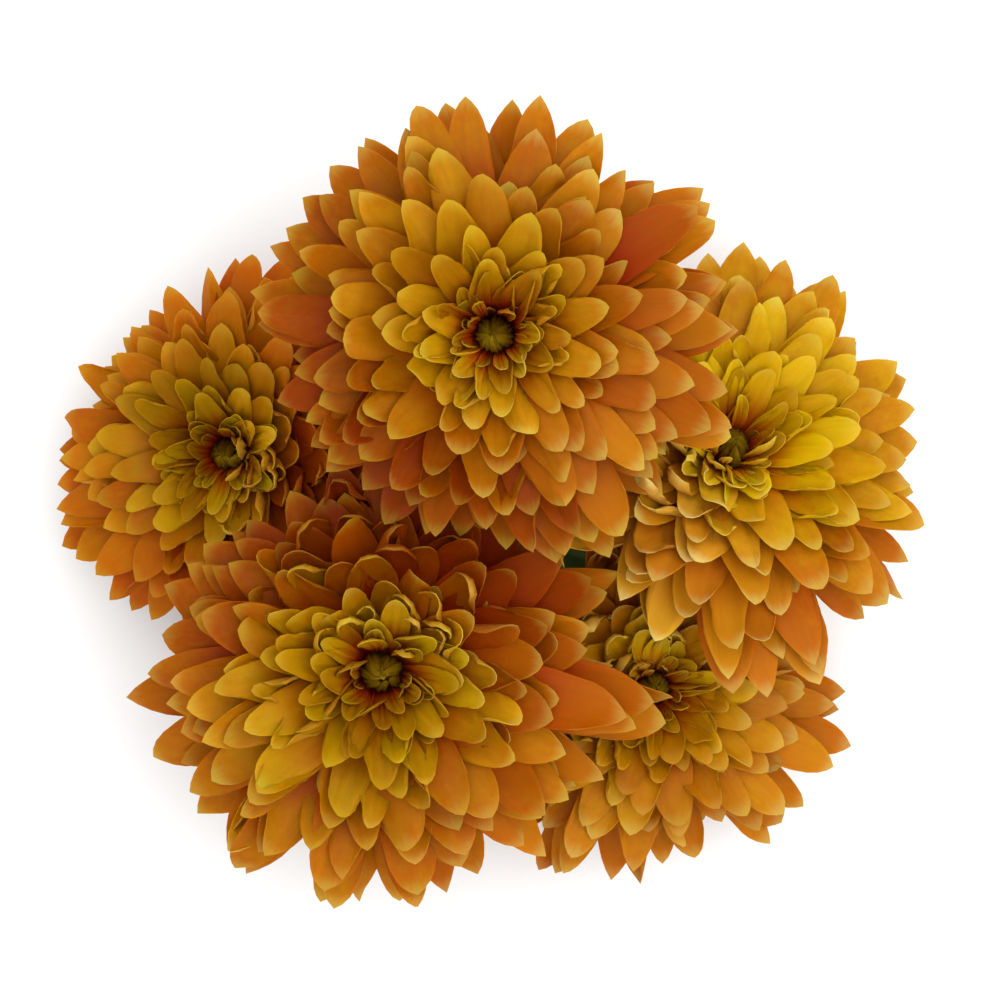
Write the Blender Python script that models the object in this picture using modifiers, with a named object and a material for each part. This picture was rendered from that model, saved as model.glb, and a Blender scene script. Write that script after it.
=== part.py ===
"""A cut spray of five decorative chrysanthemum blooms on one short branched stem.

The spray sits face up on its leaf tips and the cut end of its stem. Each bloom has seven rows of
petals threaded over a green calyx, with a heart of small florets in the middle. Metres, +Z up.
"""

import math
from collections import namedtuple

import bmesh
import bpy
from mathutils import Vector

# ---------------------------------------------------------------- driving dimensions

GAP = 0.0003                     # clearance kept between neighbouring solids
MID_SHARE = 0.55                 # where along its length a petal is thickest
NOTCH_SHARE = 0.36               # how far the notch between two petals is cut back
EDGE_THINNING = 0.6              # share of its thickness that a petal loses towards its edge
PETAL_THICKNESS = 0.0009
PETAL_CUP = 0.0006               # how far a petal's edges stand above its middle line

CORE_BASE_RADIUS = 0.0056        # the receptacle that the petal rows sit round
CORE_TOP_RADIUS = 0.0021
CORE_HEIGHT = 0.0080
CALYX_RADIUS = 0.0088
CALYX_DEPTH = 0.0072
STALK_RADIUS = 0.0017
STALK_RISE = 32                  # degrees above level at which a side stalk leaves the stem
STEM_RADIUS = 0.0034
STEM_HEIGHT = 0.030

LEAF_LENGTH = 0.050
LEAF_WIDTH = 0.030
LEAF_THICKNESS = 0.0009
LEAF_ROOT_HEIGHT = 0.0060        # where a leaf leaves the stem
LEAF_ARCH = 0.0050               # how far its middle stands above a straight line to the tip
LEAF_STALK_SHARE = 0.14          # the bare stalk's share of its length
LEAF_STALK_HALF_WIDTH = 0.0011
LEAF_DISH = 0.0016               # how far the edges of the blade rise near the stem
LEAF_LOBES = 3
LEAF_LOBE_DEPTH = 0.32

# A row of petals: seat_* is where the petals leave the receptacle, rise is the slope in degrees.
Row = namedtuple("Row", "petals columns seat_radius seat_height length base_rise tip_rise")

ROWS = [  # outermost first, for a bloom of size 1
    Row(21, 4, 0.0062, 0.0006, 0.0405, 6, -16),
    Row(21, 4, 0.0058, 0.0018, 0.0385, 16, -8),
    Row(20, 2, 0.0053, 0.0030, 0.0365, 26, 0),
    Row(19, 2, 0.0047, 0.0042, 0.0340, 36, 8),
    Row(18, 2, 0.0042, 0.0053, 0.0310, 46, 16),
    Row(15, 2, 0.0036, 0.0063, 0.0275, 56, 28),
    Row(12, 2, 0.0030, 0.0072, 0.0225, 66, 44),
]

# A bloom: where its receptacle sits from the stem, and the way and angle that it leans, in degrees.
# Its petals on the side towards the stem are pressed steeper by its neighbours, by crowding degrees.
Bloom = namedtuple("Bloom", "name place lean_to lean size crowding stalk_height")

BLOOMS = [
    Bloom("top", (0.0024, 0.0368, 0.0700), 246, 5, 0.96, 0, STEM_HEIGHT),
    Bloom("right", (0.0467, 0.0107, 0.0360), 60, 20, 0.98, 30, 0.0140),
    Bloom("left", (-0.0495, 0.0148, 0.0240), 205, 14, 0.86, 35, 0.0100),
    Bloom("front", (-0.0208, -0.0288, 0.0460), 290, 4, 1.07, 20, 0.0180),
    Bloom("low", (0.0336, -0.0335, 0.0240), 315, 5, 0.85, 35, 0.0100),
]

LEAF_TURNS = [52, 124, 196, 270, 340]  # degrees round the stem


# ---------------------------------------------------------------- helpers

def material(name, colour, roughness):
    """A plain finish for one kind of plant tissue."""
    made = bpy.data.materials.new(name)
    made.use_nodes = True
    shader = made.node_tree.nodes["Principled BSDF"]
    shader.inputs["Base Color"].default_value = (*colour, 1.0)
    shader.inputs["Roughness"].default_value = roughness
    shader.inputs["Metallic"].default_value = 0.0
    return made


def blend(first, second, share):
    """The colour that lies share of the way from first to second."""
    return tuple(a + (b - a) * share for a, b in zip(first, second))


def add_object(name, data, finish, parent=None):
    """Links a mesh or curve into the spray's collection."""
    data.materials.append(finish)
    made = bpy.data.objects.new(name, data)
    SPRAY.objects.link(made)
    made.parent = parent
    return made


def mesh_from(bm, name):
    """Turns a bmesh into a smooth-shaded mesh."""
    mesh = bpy.data.meshes.new(name)
    bm.to_mesh(mesh)
    bm.free()
    mesh.shade_smooth()
    return mesh


def turned(name, profile, finish, parent, steps=12):
    """A solid of revolution about Z. The profile is (radius, height) pairs, top to bottom."""
    bm = bmesh.new()
    points = [bm.verts.new((radius, 0.0, height)) for radius, height in profile]
    for above, below in zip(points, points[1:]):
        bm.edges.new((above, below))
    mesh = bpy.data.meshes.new(name)
    bm.to_mesh(mesh)
    bm.free()
    made = add_object(name, mesh, finish, parent)
    screw = made.modifiers.new("turn", "SCREW")
    screw.steps = steps
    screw.render_steps = steps
    screw.use_merge_vertices = True
    screw.merge_threshold = 0.00001
    return made


def tube(name, start, start_pull, end, end_pull, radii, finish):
    """A round stalk that leaves start along start_pull and arrives at end along end_pull."""
    curve = bpy.data.curves.new(name, "CURVE")
    curve.dimensions = "3D"
    curve.resolution_u = 9
    curve.bevel_depth = 1.0
    curve.bevel_resolution = 2
    curve.use_fill_caps = True
    spline = curve.splines.new("BEZIER")
    spline.bezier_points.add(1)
    ends = [(start, start_pull, radii[0]), (end, end_pull, radii[1])]
    for point, (place, pull, radius) in zip(spline.bezier_points, ends):
        point.handle_left_type = point.handle_right_type = "FREE"
        point.co = place
        point.handle_left = Vector(place) - pull
        point.handle_right = Vector(place) + pull
        point.radius = radius
    return add_object(name, curve, finish)


# ---------------------------------------------------------------- petals

def pressed(rise, press):
    """The slope of a petal that its neighbours push upright, in radians."""
    return math.radians(rise + press * (90 - rise) / 90)


def petal_line(row, share, size, press):
    """Radius, height and slope of a petal's middle line, share of the way along its length.

    The line is an arc, so its slope changes evenly from its foot to its tip.
    """
    start = pressed(row.base_rise, press)
    turn = pressed(row.tip_rise, press) - start
    slope = start + turn * share
    arc_radius = row.length * size / turn
    radius = row.seat_radius + arc_radius * (math.sin(slope) - math.sin(start))
    height = row.seat_height - arc_radius * (math.cos(slope) - math.cos(start))
    return radius, height, slope


def petal_row(name, row, turned_by, spec, finish, parent):
    """One row of petals, joined at their feet in a thin collar round the receptacle.

    A flat lens-shaped ring is spun first. Its radius past 1 is the share along a petal and its
    height is the side of the petal; each point then moves to its place on the curved row.
    """
    bm = bmesh.new()
    lens = [(0.0, 0.0), (MID_SHARE, 1.0), (1.0, 0.0), (MID_SHARE, -1.0)]
    points = [bm.verts.new((1.0 + share, 0.0, side)) for share, side in lens]
    edges = [bm.edges.new((points[i - 1], points[i])) for i in range(len(points))]
    bmesh.ops.spin(bm, geom=points + edges, cent=(0, 0, 0), axis=(0, 0, 1), angle=2 * math.pi,
                   steps=row.petals * row.columns, use_merge=True)
    bmesh.ops.recalc_face_normals(bm, faces=bm.faces)
    away = parent.rotation_quaternion.inverted() @ Vector((spec.place[0], spec.place[1], 0.0))
    away_turn = math.atan2(away.y, away.x)
    for vert in bm.verts:
        share = math.hypot(vert.co.x, vert.co.y) - 1.0
        side = vert.co.z
        turn = math.atan2(vert.co.y, vert.co.x)
        phase = (turn * row.petals / (2 * math.pi)) % 1.0
        aside = 2 * min(phase, 1.0 - phase)      # 0 on a petal's middle line, 1 in the notch
        if share > MID_SHARE + 0.1:
            share = 1.0 - NOTCH_SHARE * aside ** 2
        turn += turned_by
        press = spec.crowding * (0.5 - 0.5 * math.cos(turn - away_turn)) ** 2
        radius, height, slope = petal_line(row, share, spec.size, press)
        lift = side * PETAL_THICKNESS / 2 * (1 - EDGE_THINNING * aside)
        lift += PETAL_CUP * aside ** 2 * share
        radius -= lift * math.sin(slope)
        height += lift * math.cos(slope)
        vert.co = (radius * math.cos(turn), radius * math.sin(turn), height)
    return add_object(name, mesh_from(bm, name), finish, parent)


def heart(name, size, finish, parent):
    """The bud of small florets in the middle of a bloom, hollowed at its top."""
    outline = [
        (0.0000, 0.0196),
        (0.0016, 0.0190),
        (0.0026, 0.0176),
        (0.0036, 0.0192),
        (0.0048, 0.0206),
        (0.0052, 0.0190),
        (0.0045, 0.0145),
        (0.0033, 0.0110),
    ]
    foot = CORE_HEIGHT + GAP
    profile = [(radius * size, foot + (height - foot) * size) for radius, height in outline]
    profile += [(CORE_TOP_RADIUS, foot), (0.0, foot)]
    return turned(name, profile, finish, parent)


def calyx(name, finish, parent):
    """The green cup under a bloom, and the receptacle cone that carries its petal rows."""
    return turned(name, [
        (0.0, CORE_HEIGHT),
        (CORE_TOP_RADIUS, CORE_HEIGHT),
        (CORE_BASE_RADIUS, 0.0),
        (CALYX_RADIUS, -0.0012),
        (CALYX_RADIUS * 0.93, -0.0030),
        (CALYX_RADIUS * 0.62, -0.0056),
        (STALK_RADIUS * 1.25, -CALYX_DEPTH),
        (0.0, -CALYX_DEPTH),
    ], finish, parent)


def bloom(spec):
    """One bloom and its stalk. Everything in the bloom hangs on an empty at its receptacle."""
    lean_to = math.radians(spec.lean_to)
    lean = math.radians(spec.lean)
    axis = Vector((math.cos(lean_to) * math.sin(lean),
                   math.sin(lean_to) * math.sin(lean),
                   math.cos(lean)))
    centre = bpy.data.objects.new(f"{spec.name}_bloom_centre", None)
    SPRAY.objects.link(centre)
    centre.location = spec.place
    centre.rotation_mode = "QUATERNION"
    centre.rotation_quaternion = axis.to_track_quat("Z", "Y")

    for number, row in enumerate(ROWS):
        half_petal = math.pi / row.petals
        turned_by = (number % 2) * half_petal + 0.1 * number
        petal_row(f"{spec.name}_bloom_petals_{number + 1}", row, turned_by, spec,
                  PETAL_FINISHES[number], centre)
    heart(f"{spec.name}_bloom_heart", spec.size, HEART_FINISH, centre)
    calyx(f"{spec.name}_bloom_calyx", GREEN, centre)
    stalk(spec, axis)


def stalk(spec, axis):
    """The stalk from the main stem to the underside of a bloom's calyx."""
    place = Vector(spec.place)
    end = place - axis * (CALYX_DEPTH + GAP)
    foot_radius = STALK_RADIUS * 1.15
    if spec.stalk_height >= STEM_HEIGHT:         # the top bloom's stalk carries the stem on
        start = Vector((0.0, 0.0, STEM_HEIGHT + GAP))
        out = Vector((0.0, 0.0, 1.0))
    else:
        rise = math.radians(STALK_RISE)
        away = Vector((place.x, place.y, 0.0)).normalized()
        start = away * (STEM_RADIUS + GAP + foot_radius * math.sin(rise))
        start.z = spec.stalk_height
        out = away * math.cos(rise) + Vector((0.0, 0.0, math.sin(rise)))
    reach = (end - start).length
    tube(f"{spec.name}_bloom_stalk", start, out * reach * 0.35, end, axis * reach * 0.2,
         (foot_radius, STALK_RADIUS), GREEN)


# ---------------------------------------------------------------- stem and leaves

def main_stem():
    """The cut main stem. Its flat cut end stands on the ground."""
    turned("main_stem", [
        (0.0, STEM_HEIGHT),
        (STALK_RADIUS * 1.3, STEM_HEIGHT),
        (STEM_RADIUS * 0.8, STEM_HEIGHT * 0.8),
        (STEM_RADIUS * 0.94, STEM_HEIGHT * 0.4),
        (STEM_RADIUS, 0.0),
        (0.0, 0.0),
    ], GREEN, None)


def leaf(number, turn):
    """A lobed leaf that arches from the stem and rests the underside of its tip on the ground."""
    bm = bmesh.new()
    bmesh.ops.create_grid(bm, x_segments=12, y_segments=4, size=1.0)
    start = STEM_RADIUS + GAP * 2
    for vert in bm.verts:
        along = (vert.co.x + 1) / 2
        across = vert.co.y
        blade = max(0.0, (along - LEAF_STALK_SHARE) / (1 - LEAF_STALK_SHARE))
        spread = max(0.0, math.sin(math.pi * blade ** 0.75) * (1 - 0.15 * blade))
        wave = 0.5 - 0.5 * math.cos(2 * math.pi * (LEAF_LOBES * blade + 0.15))
        half_width = LEAF_STALK_HALF_WIDTH + LEAF_WIDTH / 2 * spread * (1 - LEAF_LOBE_DEPTH * wave)
        straight = LEAF_ROOT_HEIGHT + (LEAF_THICKNESS / 2 - LEAF_ROOT_HEIGHT) * along
        arch = LEAF_ARCH * math.sin(math.pi * along)
        dish = LEAF_DISH * abs(across) * spread * (1 - along)
        vert.co = (start + LEAF_LENGTH * along, half_width * across, straight + arch + dish)
    mesh = mesh_from(bm, f"leaf_{number}")
    made = add_object(f"leaf_{number}", mesh, LEAF_GREEN)
    made.rotation_euler.z = math.radians(turn)
    shell = made.modifiers.new("thickness", "SOLIDIFY")
    shell.thickness = LEAF_THICKNESS
    shell.offset = 0.0
    return made


# ---------------------------------------------------------------- the whole spray

def stand_on_origin():
    """Moves the whole spray so that the origin is the middle of its footprint, at its base."""
    bpy.context.view_layer.update()
    graph = bpy.context.evaluated_depsgraph_get()
    corners = []
    for made in SPRAY.objects:
        if made.type == "EMPTY":
            continue
        seen = made.evaluated_get(graph)
        mesh = seen.to_mesh()
        corners += [seen.matrix_world @ vert.co for vert in mesh.vertices]
        seen.to_mesh_clear()
    low = Vector([min(point[i] for point in corners) for i in range(3)])
    high = Vector([max(point[i] for point in corners) for i in range(3)])
    shift = Vector(((low.x + high.x) / 2, (low.y + high.y) / 2, low.z))
    for made in SPRAY.objects:
        if made.parent is None:
            made.location -= shift


for old in list(bpy.data.objects):
    bpy.data.objects.remove(old)

SPRAY = bpy.data.collections.new("chrysanthemum_spray")
bpy.context.scene.collection.children.link(SPRAY)

ORANGE = (0.62, 0.20, 0.015)
YELLOW = (0.66, 0.40, 0.015)
GREEN = material("stem_green", (0.10, 0.16, 0.05), 0.55)
LEAF_GREEN = material("leaf_green", (0.045, 0.10, 0.035), 0.5)
HEART_FINISH = material("heart_yellow", (0.42, 0.33, 0.02), 0.6)
PETAL_FINISHES = [
    material(f"petal_{i + 1}", blend(ORANGE, YELLOW, i / (len(ROWS) - 1)), 0.55)
    for i in range(len(ROWS))
]

for spec in BLOOMS:
    bloom(spec)
main_stem()
for number, turn in enumerate(LEAF_TURNS, start=1):
    leaf(number, turn)
stand_on_origin()
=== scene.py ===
# %% [markdown]
# # A spray of decorative chrysanthemums
# Five double blooms grow on one short cut stem. A double bloom has no flat disc: it is row upon
# row of ray petals round a small heart of florets that haven't opened yet. The outer petals are
# orange, long and pointed. The young ones in the middle are yellow, short and cupped.
#
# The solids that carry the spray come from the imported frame. This script gives them their looks:
# each petal as its own thin curved blade, ribbed stalks, scaly green cups and lobed leaves.
#
# The first cell loads the frame and notes the size of the box that the solids fill.

# %% Load the frame
import math
import random
from collections import namedtuple

import bmesh
import bpy
import numpy as np
from mathutils import Matrix, Vector


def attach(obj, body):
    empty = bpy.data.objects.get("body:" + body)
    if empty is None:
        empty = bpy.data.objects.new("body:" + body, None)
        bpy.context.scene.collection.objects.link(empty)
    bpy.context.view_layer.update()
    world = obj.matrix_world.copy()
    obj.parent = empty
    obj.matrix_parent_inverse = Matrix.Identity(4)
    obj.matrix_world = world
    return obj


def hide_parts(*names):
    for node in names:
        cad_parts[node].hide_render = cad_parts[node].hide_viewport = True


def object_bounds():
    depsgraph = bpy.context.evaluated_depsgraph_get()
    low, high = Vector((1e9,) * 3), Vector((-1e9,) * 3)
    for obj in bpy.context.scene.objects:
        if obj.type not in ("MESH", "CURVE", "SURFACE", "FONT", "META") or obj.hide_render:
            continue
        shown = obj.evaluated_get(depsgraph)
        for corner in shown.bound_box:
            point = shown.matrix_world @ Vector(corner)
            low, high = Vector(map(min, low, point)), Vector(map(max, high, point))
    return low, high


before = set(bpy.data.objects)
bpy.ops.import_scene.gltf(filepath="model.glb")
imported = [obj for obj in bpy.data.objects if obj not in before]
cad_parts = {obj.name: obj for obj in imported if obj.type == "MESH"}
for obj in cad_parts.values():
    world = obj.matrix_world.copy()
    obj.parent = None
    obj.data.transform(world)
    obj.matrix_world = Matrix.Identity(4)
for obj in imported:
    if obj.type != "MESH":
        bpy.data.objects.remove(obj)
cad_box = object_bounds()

BODY = "root"            # nothing in a cut flower is jointed, so every piece rides on one body
print("solids fill", [[round(value, 4) for value in corner] for corner in cad_box])

# %% [markdown]
# ## Where each bloom is
# A bloom leans its own way, so it is easiest to build in its own frame, with Z out of its face,
# and then to move the result into place. The frame could be typed in again from the design, but
# measuring it from the solids keeps the two from drifting apart. So the first helpers read the
# corner points of a solid and take them from one frame to another.

# %% Read the solids
def node_points(name):
    """A solid's corner points, each once, in metres."""
    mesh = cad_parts[name].data
    points = np.empty(len(mesh.vertices) * 3)
    mesh.vertices.foreach_get("co", points)
    return np.unique(points.reshape(-1, 3).round(6), axis=0)


def moved(points, place):
    """Points taken from one frame to another by the matrix place."""
    matrix = np.array(place)
    return points @ matrix[:3, :3].T + matrix[:3, 3]


def bloom_points(bloom, part):
    """The corner points of one of a bloom's solids, in the bloom's own frame."""
    return moved(node_points(f"{bloom.name}_bloom_{part}"), bloom.place.inverted())


print(len(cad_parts), "solids to measure")

# %% [markdown]
# The green cup (the calyx) and the heart are both turned round the bloom's axis, so the line
# through their middles is that axis.
#
# All five blooms are of one kind, but light, age and crowding make them differ. Petals turn yellow
# first where the light falls on them. Where blooms press on each other they stay folded, and there
# the petals get painted shade: their colour is made deeper and redder in place of the shade that
# the neighbouring blooms cast. Each of these has a direction, which is easiest to judge as a compass
# bearing over the whole spray: 0 degrees is along X and 90 along Y. A bloom keeps it as a turn round
# its own axis.

# %% Measure the blooms
Bloom = namedtuple("Bloom", "name place up sunny sunniness shady shade curl inner_shady fullness")


def turn_in_bloom(place, compass):
    """A compass direction, in degrees from X, as a turn round a bloom's own axis."""
    angle = math.radians(compass)
    local = place.to_3x3().inverted() @ Vector((math.cos(angle), math.sin(angle), 0.0))
    return math.atan2(local.y, local.x)


def measure_bloom(name, sunny, sunniness, shady, shade, curl, inner_shady, fullness):
    """The frame of one bloom, with the turns of its three compass directions."""
    cup = Vector(node_points(f"{name}_bloom_calyx").mean(axis=0))
    heart = Vector(node_points(f"{name}_bloom_heart").mean(axis=0))
    up = (heart - cup).normalized()
    place = Matrix.Translation(cup) @ up.to_track_quat("Z", "Y").to_matrix().to_4x4()
    return Bloom(name, place, up, turn_in_bloom(place, sunny), sunniness, turn_in_bloom(place, shady),
                 shade, curl, turn_in_bloom(place, inner_shady), fullness)


# sunny: where a bloom's petals are yellowest; sunniness: by how much. shady: where its old petals
# curl in and get painted shade, a deeper and redder colour in place of the shade there; shade: how
# much painted shade, and below 0 painted light instead; curl: how far they curl. inner_shady: where
# its young petals get the most painted shade. fullness: how many petals it has, compared with the
# rows' usual number.
BLOOMS = [
    measure_bloom("top", sunny=128, sunniness=0.38, shady=212, shade=0.32, curl=0.75,
                  inner_shady=75, fullness=1.30),
    measure_bloom("right", sunny=35, sunniness=0.46, shady=215, shade=-0.25, curl=0.22,
                  inner_shady=25, fullness=1.22),
    measure_bloom("left", sunny=155, sunniness=0.32, shady=318, shade=0.32, curl=0.62,
                  inner_shady=120, fullness=1.26),
    measure_bloom("front", sunny=222, sunniness=0.33, shady=95, shade=0.46, curl=1.00,
                  inner_shady=240, fullness=1.36),
    measure_bloom("low", sunny=235, sunniness=0.14, shady=95, shade=-0.10, curl=0.60,
                  inner_shady=260, fullness=1.26),
]
for bloom in BLOOMS:
    lean = math.degrees(bloom.up.angle(Vector((0, 0, 1))))
    print(f"{bloom.name} bloom leans {lean:.0f} degrees")

# %% [markdown]
# ## How far each row of petals reaches
# A row's solid is a skirt with one point for each petal. On the side where the blooms crowd each
# other the skirt is pressed steeper, so one length and one slope for a whole row aren't enough.
# Looking along any direction from the bloom's axis, the skirt's furthest point tells how long a
# petal is there, and how steeply it rises from its foot to its tip.

# %% Measure the rows of petals
SEAT_BAND = 0.0004       # metres: points this near a skirt's hole belong to its seat
DIRECTIONS = 36          # in how many directions a skirt is tried for its flattest slope


class Skirt:
    """The solid of one row of petals, measured in its bloom's frame."""

    def __init__(self, bloom, number, petals):
        local = bloom_points(bloom, f"petals_{number}")
        self.turns = np.arctan2(local[:, 1], local[:, 0])
        self.radii = np.hypot(local[:, 0], local[:, 1])
        self.heights = local[:, 2]
        self.seat_radius = self.radii.min()
        self.seat_height = self.heights[self.radii < self.seat_radius + SEAT_BAND].mean()
        self.window = math.pi / petals
        self.flattest = min(self.reach(step * 2 * math.pi / DIRECTIONS)[1]
                            for step in range(DIRECTIONS))

    def reach(self, turn):
        """Distance and slope from a petal's foot to its tip, in the direction turn."""
        apart = np.abs((self.turns - turn + math.pi) % (2 * math.pi) - math.pi)
        near = apart < self.window
        out = self.radii[near] - self.seat_radius
        rise = self.heights[near] - self.seat_height
        tip = np.hypot(out, rise).argmax()
        return math.hypot(out[tip], rise[tip]), math.atan2(rise[tip], out[tip])


for bloom in BLOOMS:
    furthest = np.hypot(*bloom_points(bloom, "petals_1")[:, :2].T).max()
    print(f"{bloom.name} bloom's outermost row reaches {furthest * 1000:.0f} mm from its axis")

# %% [markdown]
# ## The shape of one petal
# A ray petal starts as a narrow foot, widens to about two thirds of its length and closes in a
# tip that is round when young and pointed when old. It is spoon-shaped: its edges are rolled up
# and its tip is tilted up, like a hood.
#
# It could be sculpted by hand, but hundreds are needed and no two are alike. So a petal is a flat
# grid whose points a formula moves. First comes the midline, seen from the side: it arches over,
# and its last part turns up. It is drawn in any position, and then turned and stretched until it
# runs from the petal's foot to the tip that its row's solid gives.

# %% Draw a petal's midline
# Angles are in radians. bend: how far the petal arches over; hood: how far its tip turns up; cup:
# how far each half is rolled up; fold: how much it is creased along the middle; point: length of
# the tip, as a share of the width; acute: 0 for a round tip and nearly 1 for a sharp one; ruffle:
# how wavy its edges are; sweep, roll, twist: how it leaves its straight line. The last three are
# for its colour: ripeness, tint and deepness, which is painted shade that darkens a petal on
# a shady side.
Petal = namedtuple("Petal", "foot_radius foot_height length slope turn width bend hood cup fold "
                            "point acute ruffle sweep roll twist ripeness tint deepness")
STEPS = 24
HOOD_LENGTH = 0.018      # metres: how far behind a petal's tip its hood begins
HOOD_FROM = 0.35         # a short petal's hood begins no nearer to its foot than this share
HOOD_GROWTH = 1.25       # over 1, most of the hood's turn is close to the tip


def midline(petal):
    """Distances from the foot (out and up) and slopes, at even steps along the petal."""
    shares = np.linspace(0.0, 1.0, STEPS + 1)
    start = max(HOOD_FROM, 1 - HOOD_LENGTH / petal.length)
    hooded = np.clip((shares - start) / (1 - start), 0.0, 1.0)
    slopes = -petal.bend * shares + petal.hood * hooded ** HOOD_GROWTH
    middles = (slopes[1:] + slopes[:-1]) / 2
    out = np.concatenate(([0.0], np.cumsum(np.cos(middles))))
    rise = np.concatenate(([0.0], np.cumsum(np.sin(middles))))
    turn = petal.slope - math.atan2(rise[-1], out[-1])
    stretch = petal.length / math.hypot(rise[-1], out[-1])
    return (stretch * (out * math.cos(turn) - rise * math.sin(turn)),
            stretch * (out * math.sin(turn) + rise * math.cos(turn)),
            slopes + turn)


print("a midline has", STEPS, "steps")

# %% [markdown]
# Next comes the width. Columns of the grid are spaced like the points of a half circle, and the
# outer ones are shorter, so the last line of the grid becomes the tip. Its outline is a Gothic
# arch: two arcs that leave the sides smoothly and meet in a point.

# %% Give a petal its outline
ACROSS = 10              # faces over a petal's width
ALONG = 6                # faces over its length
FOOT_WIDTH = 0.36        # width at the foot, as a share of the widest
WIDEST_AT = 0.66         # where it is widest, as a share of its length
TIP_WIDTH = 0.85         # width where the tip begins
CROWDED_LINES = 1.8      # over 1, the grid's lines stand closer together towards the tip


def width_share(along):
    """Half width at places along the petal, as a share of the widest."""
    grown = np.sin(math.pi / 2 * np.minimum(along / WIDEST_AT, 1.0))
    closing = np.maximum(along - WIDEST_AT, 0.0) / (1 - WIDEST_AT)
    return FOOT_WIDTH + (1 - FOOT_WIDTH) * grown - (1 - TIP_WIDTH) * closing ** 2


def grid_places(petal):
    """Three arrays, one number for each point of a petal's grid.

    aside runs from -1 to 1 over the width, along from 0 at the foot to 1 at the edge of the tip,
    and share is the part of the petal's length where the point lies."""
    across, even = np.meshgrid(np.linspace(-1, 1, ACROSS + 1), np.linspace(0, 1, ALONG + 1))
    aside = np.sin(across * math.pi / 2)
    along = 1 - (1 - even) ** CROWDED_LINES
    middle = 1 - petal.acute
    inner = middle * (1 - np.abs(aside))
    arch = np.sqrt(inner * (2 - inner)) / math.sqrt(middle * (2 - middle))
    return aside, along, along * (1 - petal.point * petal.width * (1 - arch) / petal.length)


print(f"a petal has {ACROSS * ALONG} faces on each side")

# %% [markdown]
# Then the blade is rolled crosswise. Each line of the grid becomes an arc, which keeps its width
# as a real petal would. Two shallow pleats run from foot to tip, and the edges may wave a little.
# Close to its tip a petal is free to close. Further back others cover it, so there it is nearly
# flat, or it would come through them.

# %% Roll a petal
CUP_FROM = 0.0120        # metres: a petal is nearly flat where it is further than this from its tip
CUP_TO = 0.0025          # and fully cupped where it is nearer than this
CUP_COVERED = 0.2        # the share of its cup that it keeps where others cover it
PLEAT = 0.00036          # metres: how high the pleats are
WAVES_ALONG = 7          # radians of an edge's waves from foot to tip
WAVES_BY_TINT = 11       # and how far a petal's random number shifts them
WAVES_APART = 2.0        # and how far they are shifted from one edge to the other


def cross_section(petal, aside, along, share):
    """How far each point of a petal's grid lies beside its midline, and how far above it."""
    half_width = petal.width / 2 * width_share(along)
    free = np.clip((CUP_FROM - (1 - share) * petal.length) / (CUP_FROM - CUP_TO), 0, 1)
    cup = petal.cup * (CUP_COVERED + (1 - CUP_COVERED) * free * free * (3 - 2 * free))
    side = -half_width * np.sin(cup * aside) / cup
    lift = half_width * (1 - np.cos(cup * aside)) / cup
    lift += petal.fold * half_width * (np.abs(aside) - 0.5) * np.sin(math.pi * share ** 0.7)
    lift += PLEAT * np.cos(3 * math.pi * aside) * np.sin(math.pi * along) * (1 - np.abs(aside))
    waves = np.sin(WAVES_ALONG * along + WAVES_BY_TINT * petal.tint + np.copysign(WAVES_APART, aside))
    lift += petal.ruffle * half_width * aside ** 4 * waves * along
    return side, lift


def petal_points(petal):
    """The points of a petal's grid in its bloom's frame: line by line, column by column."""
    aside, along, share = grid_places(petal)
    out, rise, slope = (np.interp(share * STEPS, range(STEPS + 1), values) for values in midline(petal))
    side, lift = cross_section(petal, aside, along, share)
    roll = petal.roll + petal.twist * share ** 2
    rolled_side = side * np.cos(roll) - lift * np.sin(roll)
    rolled_lift = side * np.sin(roll) + lift * np.cos(roll)
    ahead = petal.foot_radius + out - rolled_lift * np.sin(slope)
    beside = rolled_side + petal.sweep * petal.length * share ** 2
    turn = petal.turn
    return np.stack((ahead * math.cos(turn) - beside * math.sin(turn),
                     ahead * math.sin(turn) + beside * math.cos(turn),
                     petal.foot_height + rise + rolled_lift * np.cos(slope)), axis=-1)


print(f"pleats are {PLEAT * 1000:.2f} mm high")

# %% [markdown]
# ## Petals in a mesh
# A bmesh is a mesh in the making. Its grid operator lays a flat blade and a UV map, and the points
# of the blade then move to where the formula puts them.
#
# A finish has to know more about a petal than where its points are, so some numbers are stored with
# the points. Ripeness is 1 for young yellow petals and 0 for old orange ones. Tint is random. Depth
# is how far a place lies behind its petal's tip, in centimetres, so that the colour deepens evenly
# however long the petal is; that deep foot is partly the petal's own redder base and partly painted
# shade where the petals above cover it. Painted shade tells how much darker and redder a petal is
# painted on a shady side, in place of the shade there, and thin tells how thick the blade is there,
# because a petal is thinnest at its edge.

# %% Put petals into a mesh
PETAL_NUMBERS = ("ripeness", "tint", "deepness", "depth", "thin")
CENTIMETRE = 0.01
THICKNESS_AT_EDGE = 0.3  # as a share of the thickness in a petal's middle
FLOOR_CLEARANCE = 0.0006  # metres: nothing hangs lower than this over the floor


def petal_bmesh():
    """An empty bmesh with the data that a petal's material reads."""
    bm = bmesh.new()
    bm.loops.layers.uv.new("petal_uv")
    for name in PETAL_NUMBERS:
        bm.verts.layers.float.new(name)
    return bm


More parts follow.
